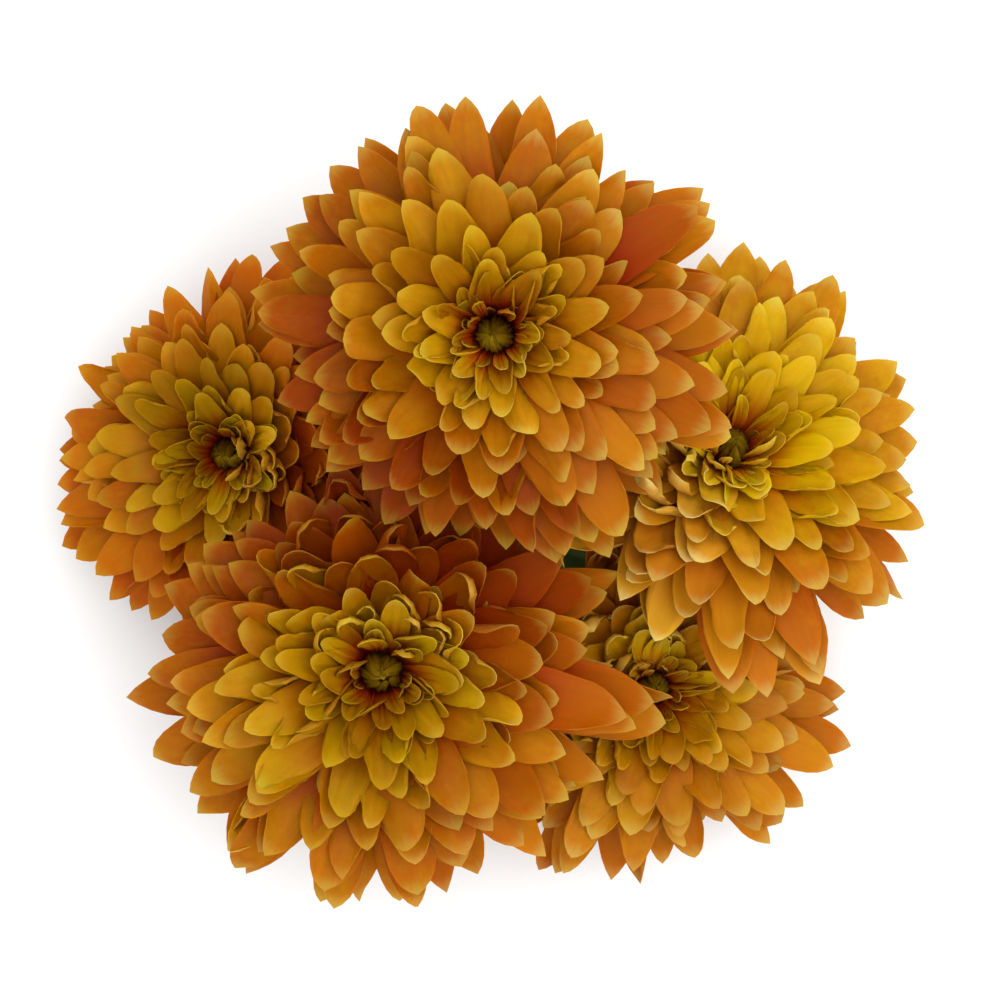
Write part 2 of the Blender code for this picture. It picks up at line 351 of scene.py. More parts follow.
def add_petal(bm, petal, points, finish=0):
    """Adds one petal to a piece, given its points in the world."""
    grid = bmesh.ops.create_grid(bm, x_segments=ACROSS, y_segments=ALONG, size=1.0, calc_uvs=True)
    layers = [bm.verts.layers.float[name] for name in PETAL_NUMBERS]
    uv = bm.loops.layers.uv["petal_uv"]
    along, share = grid_places(petal)[1:]
    for face in {face for vert in grid["verts"] for face in vert.link_faces}:
        face.material_index = finish
    for vert in grid["verts"]:
        across = vert.co.x
        point = round((vert.co.y + 1) / 2 * ALONG), round((across + 1) / 2 * ACROSS)
        for loop in vert.link_loops:
            loop[uv].uv = (across / 2 + 0.5, along[point])
        depth = (1 - share[point]) * petal.length / CENTIMETRE
        thin = 1 - (1 - THICKNESS_AT_EDGE) * max(abs(across), along[point]) ** 4
        for layer, value in zip(layers, (petal.ripeness, petal.tint, petal.deepness, depth, thin)):
            vert[layer] = value
        vert.co = points[point]
        vert.co.z = max(vert.co.z, FLOOR_CLEARANCE)


print("stored with each point:", ", ".join(PETAL_NUMBERS))

# %% [markdown]
# ## From a bmesh to a piece
# Each finished mesh becomes an object that rides on the spray's body, and the CAD solids that it
# is made in place of are hidden. A petal is half a millimetre thick. The open blade could be
# extruded, but a Solidify modifier also makes it thinner where a vertex group says so, and can give
# the new underside its own material. That suits petals, because their backs are paler than their
# faces. A rim that thin would shade as if it were round, so its edges are marked as sharp.

# %% Turn meshes into pieces
SHARP_RIM = math.radians(55)


def thickened(piece, thickness):
    """A new mesh: the piece's open blades made solid, with a sharp turn at their thin rims."""
    thin = piece.vertex_groups.new(name="thin")
    for index, value in enumerate(piece.data.attributes["thin"].data):
        thin.add([index], value.value, "REPLACE")
    shell = piece.modifiers.new("thickness", "SOLIDIFY")
    shell.thickness = thickness
    shell.offset = -1.0
    shell.vertex_group = "thin"
    shell.material_offset = 1
    shell.material_offset_rim = 0
    graph = bpy.context.evaluated_depsgraph_get()
    mesh = bpy.data.meshes.new_from_object(piece.evaluated_get(graph))
    piece.modifiers.clear()
    piece.vertex_groups.clear()
    mesh.set_sharp_from_angle(angle=SHARP_RIM)
    return mesh


def add_piece(name, bm, materials, nodes, thickness=None):
    """Makes a piece that replaces CAD nodes. With a thickness it is a shell with a back."""
    mesh = bpy.data.meshes.new(name)
    bm.to_mesh(mesh)
    bm.free()
    mesh.shade_smooth()
    piece = bpy.data.objects.new(name, mesh)
    bpy.context.scene.collection.objects.link(piece)
    for material in materials:
        mesh.materials.append(material)
    if thickness:
        piece.data = thickened(piece, thickness)
        piece.data.name = name
    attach(piece, BODY)
    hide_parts(*nodes)
    return piece


print("every piece rides on", BODY)

# %% [markdown]
# ## Node groups for plant tissue
# A petal's colour follows its shape: deep orange-red at the foot, yellow at the edge, with fine
# veins that run lengthwise. The deep foot is partly the base's own red and partly painted shade,
# and the light edge and tip are partly their own yellow and partly painted light and sheen. Image
# textures could be painted, but each petal would then need its own.
# Nodes work a pattern out at every point instead, from where it is on the petal and from the numbers
# that are stored there.
#
# All five blooms use one node group with their own colours, so that the pattern is made once. A tree
# of nodes is quicker to write with a few helpers. The first ones add a node and link it, do a sum
# and make a smooth step.

# %% Add and link nodes
def new_node(tree, kind, inputs=None, **settings):
    """Adds a node, sets its settings, and sets or links its inputs by name or number."""
    node = tree.nodes.new(kind)
    for key, value in settings.items():
        setattr(node, key, value)
    for key, value in (inputs or {}).items():
        socket = node.inputs[key]
        if isinstance(value, bpy.types.NodeSocket):
            tree.links.new(value, socket)
        else:
            socket.default_value = value
    return node


def maths(tree, operation, first, second=0.5, clamp=False):
    """A Math node's result."""
    node = new_node(tree, "ShaderNodeMath", {0: first, 1: second}, operation=operation)
    node.use_clamp = clamp
    return node.outputs[0]


def ramp(tree, value, low, high, out_low=0.0, out_high=1.0):
    """A smooth step from out_low to out_high as value goes from low to high."""
    node = new_node(tree, "ShaderNodeMapRange", {
        "Value": value, "From Min": low, "From Max": high, "To Min": out_low, "To Max": out_high},
        interpolation_type="SMOOTHSTEP")
    return node.outputs["Result"]


print("node helpers: new_node, maths, ramp")

# %% [markdown]
# The next ones mix two colours, make noise, and start a node group. A group's sockets are what a
# material can set or read, so they get names.

# %% Mix colours and start groups
def mix_colour(tree, share, first, second):
    """A Mix Color node's result."""
    node = new_node(tree, "ShaderNodeMix", data_type="RGBA")
    for socket, value in ((node.inputs[0], share), (node.inputs[6], first), (node.inputs[7], second)):
        if isinstance(value, bpy.types.NodeSocket):
            tree.links.new(value, socket)
        else:
            socket.default_value = value
    return node.outputs[2]


def noise(tree, vector, scale, detail=2.0, roughness=0.5):
    """A Noise texture's value, about 0.5 on average."""
    node = new_node(tree, "ShaderNodeTexNoise",
                    {"Vector": vector, "Scale": scale, "Detail": detail, "Roughness": roughness})
    return node.outputs["Fac"]


def new_group(name, inputs, outputs):
    """An empty node group with named sockets, and its input and output nodes."""
    tree = bpy.data.node_groups.new(name, "ShaderNodeTree")
    for socket_name, kind in inputs:
        tree.interface.new_socket(socket_name, in_out="INPUT", socket_type=kind)
    for socket_name, kind in outputs:
        tree.interface.new_socket(socket_name, in_out="OUTPUT", socket_type=kind)
    return tree, tree.nodes.new("NodeGroupInput"), tree.nodes.new("NodeGroupOutput")


COLOUR = "NodeSocketColor"
VALUE = "NodeSocketFloat"
print("a group's sockets are", COLOUR, "or", VALUE)

# %% [markdown]
# The last ones tell where a point is. The UV map runs over the petal, so veins that read it follow
# the petal as it curls. Object coordinates don't: they are places in the whole spray, and suit
# mottling that mustn't repeat from petal to petal.

# %% Find a place on a petal
def stored(tree, name):
    """A number that is stored with the mesh's points."""
    return new_node(tree, "ShaderNodeAttribute", attribute_name=name).outputs["Fac"]


def place_on_blade(tree):
    """Across and along, each from 0 to 1, as the blade's UV map gives them."""
    uv = new_node(tree, "ShaderNodeUVMap", uv_map="petal_uv").outputs[0]
    place = new_node(tree, "ShaderNodeSeparateXYZ", {0: uv})
    return place.outputs[0], place.outputs[1]


def from_midrib(tree, across):
    """0 in the middle of a blade and 1 at its edges."""
    return maths(tree, "MULTIPLY", maths(tree, "ABSOLUTE", maths(tree, "SUBTRACT", across)), 2.0)


def place_in_spray(tree):
    """Object coordinates."""
    return new_node(tree, "ShaderNodeTexCoord").outputs["Object"]


print("blade helpers: stored, place_on_blade, from_midrib, place_in_spray")

# %% [markdown]
# ## The petal pattern
# The group mixes its colours in the order in which a painter would lay them: the ground colour from
# orange to yellow, the light tip, the deep red foot, and last the thin bright rim. The light tip is
# partly the tip's own paler colour and partly a painted highlight with a little painted sheen; the
# deep foot is partly the base's own red and partly painted shade where the petals above cover it;
# the bright rim is partly the edge's own yellow and partly painted light caught by the thin edge.
# Each mask below says how much of one of them shows. Noise stretched lengthwise frays the line
# between them, as veins do.

# %% Mask the parts of a petal
FOOT_FROM = 0.45         # centimetres behind the tip where the colour starts to deepen: partly own red, partly painted shade
FOOT_TO = 2.15           # and where it is deepest
STREAKS = 13.0           # how many streaks lie side by side
TINT_APART = 40.0        # how far two petals' streaks lie apart in the noise


def streak_mask(tree, across, along):
    """Lengthwise streaks, different on every petal."""
    place = new_node(tree, "ShaderNodeCombineXYZ", {
        0: maths(tree, "MULTIPLY", across, STREAKS),
        1: maths(tree, "MULTIPLY", along, 1.1),
        2: maths(tree, "MULTIPLY", stored(tree, "tint"), TINT_APART)}).outputs[0]
    return noise(tree, place, 1.0, 3.0, 0.65)


def ripeness_mask(tree, mottle):
    """0 for orange and 1 for yellow, a little uneven over each petal and over the bloom."""
    blotch = noise(tree, place_in_spray(tree), 120.0, 2.0, 0.5)
    ripe = maths(tree, "ADD", stored(tree, "ripeness"), ramp(tree, mottle, 0.3, 0.7, -0.08, 0.08))
    return maths(tree, "ADD", ripe, ramp(tree, blotch, 0.3, 0.7, -0.14, 0.14), clamp=True)


def foot_mask(tree, depth, along, ripe):
    """The deep foot, partly own red, partly painted shade: it fades in behind the tip and is nearly full
    at the foot.
    """
    foot = maths(tree, "MULTIPLY", ramp(tree, depth, FOOT_FROM, FOOT_TO),
                 ramp(tree, ripe, 0.1, 0.9, 0.74, 0.70))
    foot_end = maths(tree, "ADD", maths(tree, "MULTIPLY", ripe, 0.14), 0.62)
    return maths(tree, "MAXIMUM", foot, ramp(tree, along, foot_end, 0.15, 0.0, 0.94))


def rim_mask(tree, across, along):
    """The thin bright rim near the tip: partly the edge's own yellow, partly painted light."""
    sides = ramp(tree, from_midrib(tree, across), 0.86, 1.0)
    rim = maths(tree, "MAXIMUM", sides, ramp(tree, along, 0.93, 1.0))
    return maths(tree, "MULTIPLY", rim, ramp(tree, stored(tree, "depth"), 0.7, 0.2, 0.0, 0.12))


print(f"a petal's colour deepens from {FOOT_FROM} to {FOOT_TO} cm behind its tip")

# %% [markdown]
# Now the masks are put to use. The streaks shift the depth before it is read, which is what frays
# the edge of the foot. At the end each petal gets a slightly different hue and brightness. A gamma
# over 1 then paints shade on the petals on the shady sides, and a gamma under 1 paints light: it
# takes more from the weak parts of a colour than from the strong ones, so orange turns to red and
# not to brown.

# %% Build the petal pattern
def shaded(tree, colour, streaks):
    """The colour with the small differences from petal to petal, and painted shade on the shady sides."""
    tint = stored(tree, "tint")
    varied = new_node(tree, "ShaderNodeHueSaturation", {
        "Hue": ramp(tree, tint, 0.0, 1.0, 0.492, 0.508),
        "Value": maths(tree, "MULTIPLY", ramp(tree, tint, 0.0, 1.0, 0.90, 1.10),
                       ramp(tree, streaks, 0.3, 0.7, 0.95, 1.05)),
        "Color": colour})
    # painted shade: a gamma over 1 darkens and reddens petals on the shady sides, under 1 it paints light
    gamma = maths(tree, "ADD", stored(tree, "deepness"), 1.0)
    return new_node(tree, "ShaderNodeGamma", {"Color": varied.outputs[0], "Gamma": gamma}).outputs[0]


def make_petal_pattern():
    """Node group: the colour and the relief of a petal."""
    tree, given, result = new_group(
        "petal_pattern",
        [("Young", COLOUR), ("Old", COLOUR), ("Young Tip", COLOUR), ("Old Tip", COLOUR), ("Foot", COLOUR)],
        [("Colour", COLOUR), ("Relief", VALUE), ("Roughness", VALUE)])
    across, along = place_on_blade(tree)
    mottle = noise(tree, place_in_spray(tree), 650.0, 3.0, 0.6)
    streaks = streak_mask(tree, across, along)
    depth = maths(tree, "ADD", stored(tree, "depth"), ramp(tree, streaks, 0.3, 0.7, -0.06, 0.09))
    ripe = ripeness_mask(tree, mottle)
    body = mix_colour(tree, ripe, given.outputs["Old"], given.outputs["Young"])
    tip = mix_colour(tree, ripe, given.outputs["Old Tip"], given.outputs["Young Tip"])
    # the light tip: partly the tip's own paler colour, partly painted highlight
    colour = mix_colour(tree, ramp(tree, depth, 0.0, 0.42, 1.0, 0.0), body, tip)
    # the deep foot: partly the base's own red, partly painted shade
    colour = mix_colour(tree, foot_mask(tree, depth, along, ripe), colour, given.outputs["Foot"])
    # the bright rim: partly the edge's own yellow, partly painted light
    colour = mix_colour(tree, rim_mask(tree, across, along), colour, given.outputs["Young Tip"])
    relief = maths(tree, "ADD", streaks, maths(tree, "MULTIPLY", mottle, 0.4))
    tree.links.new(shaded(tree, colour, streaks), result.inputs["Colour"])
    tree.links.new(relief, result.inputs["Relief"])
    tree.links.new(ramp(tree, mottle, 0.3, 0.7, 0.40, 0.54), result.inputs["Roughness"])
    return tree


PETAL_PATTERN = make_petal_pattern()
print("petal pattern has", len(PETAL_PATTERN.nodes), "nodes")

# %% [markdown]
# ## Petal finishes
# Light enters a petal and comes out again near by, and some of it passes right through, so petals
# glow where they are thin. Subsurface scattering does this: red light travels furthest in this
# tissue, which makes the shade between petals deep orange and not grey. The surface is satin, so
# it is neither shiny nor quite matt.

# %% Make a petal finish
PETAL_RELIEF = 0.00018   # metres: how deep the streaks and the mottling are


def rgba(red, green, blue):
    """A colour as the shader sockets want it."""
    return (red, green, blue, 1.0)


def petal_finish(name, young, old, young_tip, old_tip, foot):
    """A material for the face or the back of a bloom's petals."""
    material = bpy.data.materials.new(name)
    material.use_nodes = True
    tree = material.node_tree
    shader = tree.nodes["Principled BSDF"]
    pattern = new_node(tree, "ShaderNodeGroup", node_tree=PETAL_PATTERN)
    for socket, value in (("Young", young), ("Old", old), ("Young Tip", young_tip),
                          ("Old Tip", old_tip), ("Foot", foot)):
        pattern.inputs[socket].default_value = value
    bump = new_node(tree, "ShaderNodeBump", {"Height": pattern.outputs["Relief"],
                                             "Strength": 0.50, "Distance": PETAL_RELIEF})
    tree.links.new(pattern.outputs["Colour"], shader.inputs["Base Color"])
    tree.links.new(pattern.outputs["Roughness"], shader.inputs["Roughness"])
    tree.links.new(bump.outputs[0], shader.inputs["Normal"])
    shader.inputs["Subsurface Weight"].default_value = 0.45
    shader.inputs["Subsurface Radius"].default_value = (1.0, 0.35, 0.05)
    shader.inputs["Subsurface Scale"].default_value = 0.0012
    shader.inputs["Specular IOR Level"].default_value = 0.05
    return material


print(f"relief on petals is {PETAL_RELIEF * 1000:.2f} mm deep")

# %% [markdown]
# The blooms are of one kind, but each has its own yellow and orange. Part of that is each bloom's
# own hue, and part is painted light and shade, given below for each bloom. These are the shader's
# linear colours, as red, green and blue: a petal has nearly no blue, and the less green there is
# beside the red, the nearer it is to red.

# %% Choose the blooms' colours
Palette = namedtuple("Palette", "young old young_tip old_tip foot")
# Tip colours are lighter, partly their own colour and partly painted highlight, and their little blue is a
# painted sheen. The foot colours are deep partly as painted shade.
PALETTES = {
    "top": Palette(rgba(0.385, 0.184, 0.0008), rgba(0.318, 0.085, 0.0006),
                   rgba(0.425, 0.275, 0.0130), rgba(0.360, 0.222, 0.0338),
                   rgba(0.300, 0.021, 0.0002)),
    # painted light: the right bloom's colours, its foot most of all, are lighter so its shaded heart comes
    # out bright; partly also its own lemon yellow
    "right": Palette(rgba(0.520, 0.325, 0.0010), rgba(0.370, 0.118, 0.0020),
                     rgba(0.530, 0.370, 0.0234), rgba(0.390, 0.250, 0.0468),
                     rgba(0.420, 0.060, 0.0004)),
    # painted shade: the left bloom's young yellow is darker, for the shadow of the top bloom
    "left": Palette(rgba(0.310, 0.165, 0.0008), rgba(0.390, 0.088, 0.0006),
                    rgba(0.350, 0.215, 0.0052), rgba(0.420, 0.170, 0.0091),
                    rgba(0.270, 0.018, 0.0002)),
    "front": Palette(rgba(0.370, 0.198, 0.0008), rgba(0.322, 0.083, 0.0006),
                     rgba(0.410, 0.262, 0.0117), rgba(0.355, 0.198, 0.0299),
                     rgba(0.300, 0.021, 0.0002)),
    # painted light: the low bloom's colours and its foot are lighter, to lift the shade that the blooms
    # above cast on it
    "low": Palette(rgba(0.410, 0.200, 0.0008), rgba(0.340, 0.104, 0.0016),
                   rgba(0.440, 0.250, 0.0156), rgba(0.355, 0.215, 0.0416),
                   rgba(0.410, 0.052, 0.0004)),
}
print("colours for", ", ".join(PALETTES))

# %% [markdown]
# A petal's back has fewer pigment cells than its face, so its colours are the face's own, moved a
# little towards pale yellow. The bud in the middle is closed florets that are still olive green.

# %% Make the faces, the backs and the bud
BACK_PALENESS = 0.20     # how far a petal's back is from its face towards pale yellow
PALE_YELLOW = rgba(0.540, 0.270, 0.0400)


def paler(colour):
    """The colour of a petal's back where its face has the given colour."""
    return tuple(part + BACK_PALENESS * (pale - part) for part, pale in zip(colour, PALE_YELLOW))


def bloom_finishes(name):
    """The face and the back of one bloom's petals."""
    palette = PALETTES[name]
    return [petal_finish(f"{name}_petal_face", *palette),
            petal_finish(f"{name}_petal_back", *(paler(colour) for colour in palette))]


PETALS = {bloom.name: bloom_finishes(bloom.name) for bloom in BLOOMS}
BUD_OLIVE = petal_finish("bud_olive", rgba(0.150, 0.082, 0.001), rgba(0.090, 0.050, 0.001),
                         rgba(0.190, 0.110, 0.002), rgba(0.120, 0.072, 0.001),
                         rgba(0.060, 0.018, 0.0003))
print(len(bpy.data.materials), "petal finishes")

# %% [markdown]
# ## The rows of petals
# A chrysanthemum doesn't grow in true circles. Each new petal stands 137.5 degrees round from the
# one before, a little higher and a little shorter. This golden angle puts every petal over the gap
# between older ones, and it draws the spirals that are typical of the flower. So the petals are
# made in that order, and a row is a run of them.
#
# Its place in the spiral gives each petal its age, and age gives its form. This list says what
# petals look like as each row begins. Between two rows their looks are blended.

# %% Describe the rows
Look = namedtuple("Look", "count width bend open_hood closed_hood open_cup closed_cup point acute "
                          "ripeness")

LOOKS = (                # outermost first; width is a share of the length, angles are in degrees
    Look(23, 0.292, 30, -30, 40, 16, 56, 1.02, 0.62, -0.08),
    Look(23, 0.296, 34, -30, 50, 18, 62, 0.92, 0.52, -0.06),
    Look(22, 0.302, 38, -28, 60, 24, 72, 0.84, 0.43, -0.02),
    Look(21, 0.308, 42, -24, 70, 30, 80, 0.76, 0.37, 0.10),
    Look(19, 0.314, 44, -16, 78, 36, 86, 0.70, 0.33, 0.34),
    Look(16, 0.312, 40, -6, 82, 34, 88, 0.66, 0.30, 0.76),
    Look(13, 0.306, 32, 10, 78, 38, 90, 0.68, 0.32, 1.00),
)
print(sum(look.count for look in LOOKS), "petals in a bloom of plain fullness")

# %% [markdown]
# Chance gives a petal the rest, because every petal grows by itself: one lies open, one closes like
# a spoon, and now and then one rolls up and shows its pale back. Where blooms press on each other,
# all close up.
#
# A bloom's outline isn't a circle either. Here and there one old petal reaches past its neighbours.
# Chance could choose those too, but they are what the eye knows a bloom by, so they are listed.

# %% Set the odds and the outline
ROLLED_SHARE = 0.05      # how many petals are rolled up or curled out of line
CREASED_SHARE = 0.55     # how many are creased along the middle
ARCHED_SHARE = 0.30      # how many of the old ones have their edges rolled down and not up
CUP_SHADE = 0.22         # how much shade is painted on young petals on the side that faces away from the light
CURL = 72                # how many degrees further in a tip turns where petals curl most
CROWDED_SHORTER = 0.14   # how much shorter petals are where they curl most
STRAYS_UP_TO = 2.2       # only petals of the outer rows grow far out of line
STRAYS = {               # where they do (a compass direction), and their length
    "top": ((101, 1.14), (72, 1.11), (120, 1.05), (29, 1.19), (6, 1.04), (-6, 1.06), (-27, 1.14),
            (-57, 1.10), (-77, 1.10), (154, 1.08), (171, 1.16)),
    "right": ((75, 1.08), (54, 1.12), (-38, 1.05), (-64, 1.10), (-90, 1.12), (-140, 1.08)),
    "left": ((112, 0.88), (127, 0.85), (142, 0.88), (-176, 1.08), (-160, 1.12), (-146, 1.14),
             (-130, 1.12)),
    "front": ((-8, 1.20), (-23, 1.14), (30, 1.10), (182, 1.08), (-128, 1.04), (-103, 1.04),
              (-77, 1.04), (-45, 1.04), (150, 0.95), (136, 0.90), (122, 0.88), (108, 0.88)),
    "low": ((-8, 1.02), (-24, 1.12), (-47, 1.08), (-77, 1.02), (-98, 1.10), (-122, 1.12),
            (2, 0.86), (12, 0.84), (-16, 0.88), (-35, 0.84), (-60, 0.86), (-88, 0.86), (-110, 0.86)),
}
print(sum(len(strays) for strays in STRAYS.values()), "petals reach out of line or fall short")

# %% [markdown]
# Now a petal's place in the spiral can be turned into its length, slope, colour and curl. Each of
# these is a small sum over its age and its direction, so each has its own function.

# %% Give petals their place and look
def between(low, high, share):
    """The value at a share of the way from low to high."""
    return low + (high - low) * share


def rows_at(age):
    """The older of the two rows that an age lies between, and the share of the way to the next."""
    row = min(max(int(age), 0), len(LOOKS) - 2)
    return row, min(max(age - row, 0.0), 1.0)


def measure_at(skirts, age, turn):
    """Foot radius and height, length, slope and crowding of a petal. An age of 0 is row 1's."""
    row, share = rows_at(age)
    values = []
    for skirt in skirts[row:row + 2]:
        length, slope = skirt.reach(turn)
        values.append((skirt.seat_radius, skirt.seat_height, length, slope,
                       max(0.0, slope - skirt.flattest)))
    return [between(old, young, share) for old, young in zip(*values)]


def look_at(age):
    """The look of petals of an age, as a Look whose count doesn't matter."""
    row, share = rows_at(age)
    return Look(*(between(old, young, share) for old, young in zip(LOOKS[row], LOOKS[row + 1])))


print("halfway between rows 1 and 2 a petal's width is", round(look_at(0.5).width, 3), "of its length")

# %% [markdown]
# Growth, painted shade and curl depend on the side of the bloom as well. The cosine of the angle
# between a petal and the shady side is 1 for a petal that points there and falls off smoothly to
# both sides, so it makes a good measure of how much a petal belongs to that side.

# %% Shape petals by their side of the bloom
STRAY_NEAR = 0.992       # cosine of how far a petal may be from a listed direction and be meant by it


def growth(bloom, age, turn, chance):
    """A petal's length compared with what its row's solid gives."""
    usual = chance.uniform(0.90, 1.06)
    strays = [times * chance.uniform(0.97, 1.03) for compass, times in STRAYS[bloom.name]
              if math.cos(turn - turn_in_bloom(bloom.place, compass)) > STRAY_NEAR]
    side = max(0.0, math.cos(turn - bloom.shady))
    length = strays[0] if strays and age < STRAYS_UP_TO else usual
    return length * (1 - CROWDED_SHORTER * bloom.curl ** 4 * side)


def deepness(bloom, age, turn):
    """How much shade is painted on a petal on the shady side: 0 is none, below 0 it is painted light."""
    # outer is 1 up to an age of 3 and falls from there: young petals have a shady side of their own
    outer = min(max((6.0 - age) / 3.0, 0.15), 1.0)
    # painted shade: old petals get it on the shady side, young ones on the side away from the light; a
    # shade below 0 paints light
    side = math.cos(turn - bloom.shady)
    inside = CUP_SHADE * (1 - outer) * math.cos(turn - bloom.inner_shady)
    return bloom.shade * outer * max(side, 0.1 * side) + inside


def curl(bloom, age, turn, chance):
    """How much further in a petal's tip turns on the shady side, in degrees."""
    # middling is 0 for the outermost petals, 1 from an age of 1.5 to 3.9, and low for young ones
    middling = min(max(age - 0.5, 0.0), 1.0) * min(max((6.4 - age) / 2.5, 0.3), 1.0)
    side = max(0.0, math.cos(turn - bloom.shady))
    return CURL * bloom.curl * middling * side * chance.uniform(0.5, 1.2)


for bloom in BLOOMS:
    print(f"{bloom.name} bloom's shady side is {deepness(bloom, 0, bloom.shady):.2f} deeper")

# %% [markdown]
# With those, one petal can be grown. Chance is a seeded random generator, which gives the same
# numbers every time the script runs, so the bloom always comes out the same.

# %% Grow a petal
# closed is 0 for an open petal and 1 for a closed one.
CLOSED_BY_CROWDING = 1.1  # how much each radian that a petal is pressed up closes it
MOST_CLOSED = 1.25
ARCHED_UNDER = 0.7       # only petals that are less closed than this have their edges rolled down
ROLLED_CUP = 1.8         # how much further the edges of a rolled petal are rolled
ROLLED_LOOSE = 3.0       # and how much further it leans and twists


def grow_petal(bloom, skirts, age, turn, chance):
    """One petal, with the small differences that it grew with."""
    turn += math.radians(chance.gauss(0, 4.0))
    foot_radius, foot_height, length, slope, crowding = measure_at(skirts, age, turn)
    look = look_at(age)
    rolled = chance.random() < ROLLED_SHARE
    loose = ROLLED_LOOSE if rolled else 1.0
    closed = min(chance.random() + CLOSED_BY_CROWDING * crowding, MOST_CLOSED)
    cup = between(look.open_cup, look.closed_cup, closed) * (ROLLED_CUP if rolled else 1.0)
    if not rolled and closed < ARCHED_UNDER and chance.random() < ARCHED_SHARE:
        cup = -chance.uniform(20, 60)
    return Petal(
        foot_radius=foot_radius,
        foot_height=foot_height,
        length=length * growth(bloom, age, turn, chance),
        slope=slope + math.radians(chance.gauss(0, 3.0)),
        turn=turn,
        width=length * look.width * chance.uniform(0.82, 1.18),
        bend=math.radians(look.bend + chance.gauss(0, 7)),
        hood=math.radians(between(look.open_hood, look.closed_hood, closed)
                          + curl(bloom, age, turn, chance) + chance.gauss(0, 6)),
        cup=math.radians(cup),
        fold=chance.uniform(0.12, 0.34) if chance.random() < CREASED_SHARE else 0.0,
        point=look.point * chance.uniform(0.80, 1.25),
        acute=min(look.acute * chance.uniform(0.5, 1.5), 0.8),
        ruffle=chance.uniform(0.0, 0.14),
        sweep=chance.gauss(0, 0.045),
        roll=math.radians(chance.gauss(0, 11)) * loose,
        twist=math.radians(chance.gauss(0, 17)) * loose,
        ripeness=look.ripeness + bloom.sunniness * math.cos(turn - bloom.sunny)
        + chance.gauss(0, 0.07),
        tint=chance.random(),
        deepness=deepness(bloom, age, turn) + chance.gauss(0, 0.05),
    )


print("a share of", ROLLED_SHARE, "of the petals is rolled up")

# %% [markdown]
# ## Resting one petal on another
# Petals made by chance alone would cut through each other. Real ones can't: each new petal comes to
# rest on the ones below, and gives way where they press on it. A physics simulation could do that,
# but it would be slow for so many petals. A heap does it with one number for each small square seen
# from above: how high the petals are piled there.
#
# Wherever a new petal would dip into the pile it is lifted, and the lift is spread over the points
# round about, so that it doesn't show as a dent. The small florets in the heart are too stiff for
# that: they turn up from their feet as a whole. A petal that is far below the pile's top belongs
# under it and is left alone.
#
# The points of a petal's grid lie further apart than the squares. So its grid is filled in first
# with points between them.

# %% Fill in a grid of points
def filled(points, axis, times):
    """A grid of points with times as many steps along an axis."""
    points = np.moveaxis(points, axis, 0)
    places = np.arange(times * (len(points) - 1) + 1) / times
    low = np.minimum(places.astype(int), len(points) - 2)
    part = (places - low)[:, None, None]
    return np.moveaxis(points[low] * (1 - part) + points[low + 1] * part, 0, axis)


print("filled in 4 times as finely, 3 points become", len(filled(np.zeros((3, 1, 3)), 0, 4)))

# %% [markdown]
# To rest a petal, the heap compares the filled-in points with the pile, and each line of the grid
# takes the largest lift that is needed near it. To add a petal to the pile, its whole face has to
# be filled in more finely, or squares between its points would be missed.

# %% Make a heap
SQUARE = 0.001           # metres: the side of one square of the map
SQUARES = 240            # squares along each side of the map
GAP = 0.0006             # metres between a petal's middle and that of the one it rests on
MOST_LIFT = 0.0040       # metres
FAR_BELOW = 0.0064       # metres: a point further below the pile's top is under the pile
SPREADINGS = 3           # how often a lift is spread to the points beside it
TRIES = 4                # how many points are compared with the pile for each line of a petal's grid
FILLED_ALONG = 8         # how many points are added to the pile for each line of the grid
FILLED_ACROSS = 3        # and for each column


class Heap:
    """How high petals are piled, on a square map seen along Z."""

    def __init__(self):
        self.heights = np.full((SQUARES, SQUARES), -1.0)

    def squares(self, points):
        """The rows and columns of the squares that points lie over."""
        places = (points[..., :2] / SQUARE).round().astype(int) + SQUARES // 2
        places = places.clip(0, SQUARES - 1)
        return places[..., 0], places[..., 1]

    def rest(self, points, stiff=False):
        """A petal's points, lifted where they dip into the pile. A stiff one turns as a whole."""
        dense = filled(points, 0, TRIES)
        need = self.heights[self.squares(dense)] + GAP - dense[..., 2]
        need = np.where(need < FAR_BELOW, np.clip(need, 0, MOST_LIFT), 0.0)
        lift = np.array([need[max(0, TRIES * (line - 1) + 1):TRIES * (line + 1)].max(axis=0)
                         for line in range(len(points))])
        if stiff:
            lines = np.arange(len(points))
            tipped_up = lift.max(axis=1)[1:] * np.minimum(lines[:, None] / lines[1:], 1.0)
            lift[:] = tipped_up.max(axis=1)[:, None]
        lift[0] = 0.0
        for _ in range(SPREADINGS):
            padded = np.pad(lift, 1, mode="edge")
            around = padded[:-2, 1:-1] + padded[2:, 1:-1] + padded[1:-1, :-2] + padded[1:-1, 2:]
            lift = np.maximum(lift, around / 4)
        lift[0] = 0.0
        raised = points.copy()
        raised[..., 2] += lift
        return raised

    def add(self, points):
        """Adds a petal to the pile. Its faces are filled in with points closer than a square."""
        points = filled(filled(points, 0, FILLED_ALONG), 1, FILLED_ACROSS)
        np.maximum.at(self.heights, self.squares(points), points[..., 2])


print(f"a heap is {SQUARE * SQUARES * 100:.0f} cm wide")

# %% [markdown]
# The longest petals could leave the box that the solids fill. Scaling the whole bloom down would
# make all of it too small, so only a petal that stands out is shortened, a little at a time.

# %% Keep a petal inside the box
PROUD = 0.0010           # metres that a petal may stand out of the solids' box
SHORTER = 0.98           # what a petal that stands out further is shortened to, again and again


def within_box(petal, bloom):
    """The petal, shortened until it stays inside the box that the solids fill."""
    low, high = np.array(cad_box) + [[-PROUD], [PROUD]]
    points = moved(petal_points(petal), bloom.place)
    while (points[..., :2] < low[:2]).any() or (points > high).any():
        petal = petal._replace(length=petal.length * SHORTER)
        points = moved(petal_points(petal), bloom.place)
    return petal


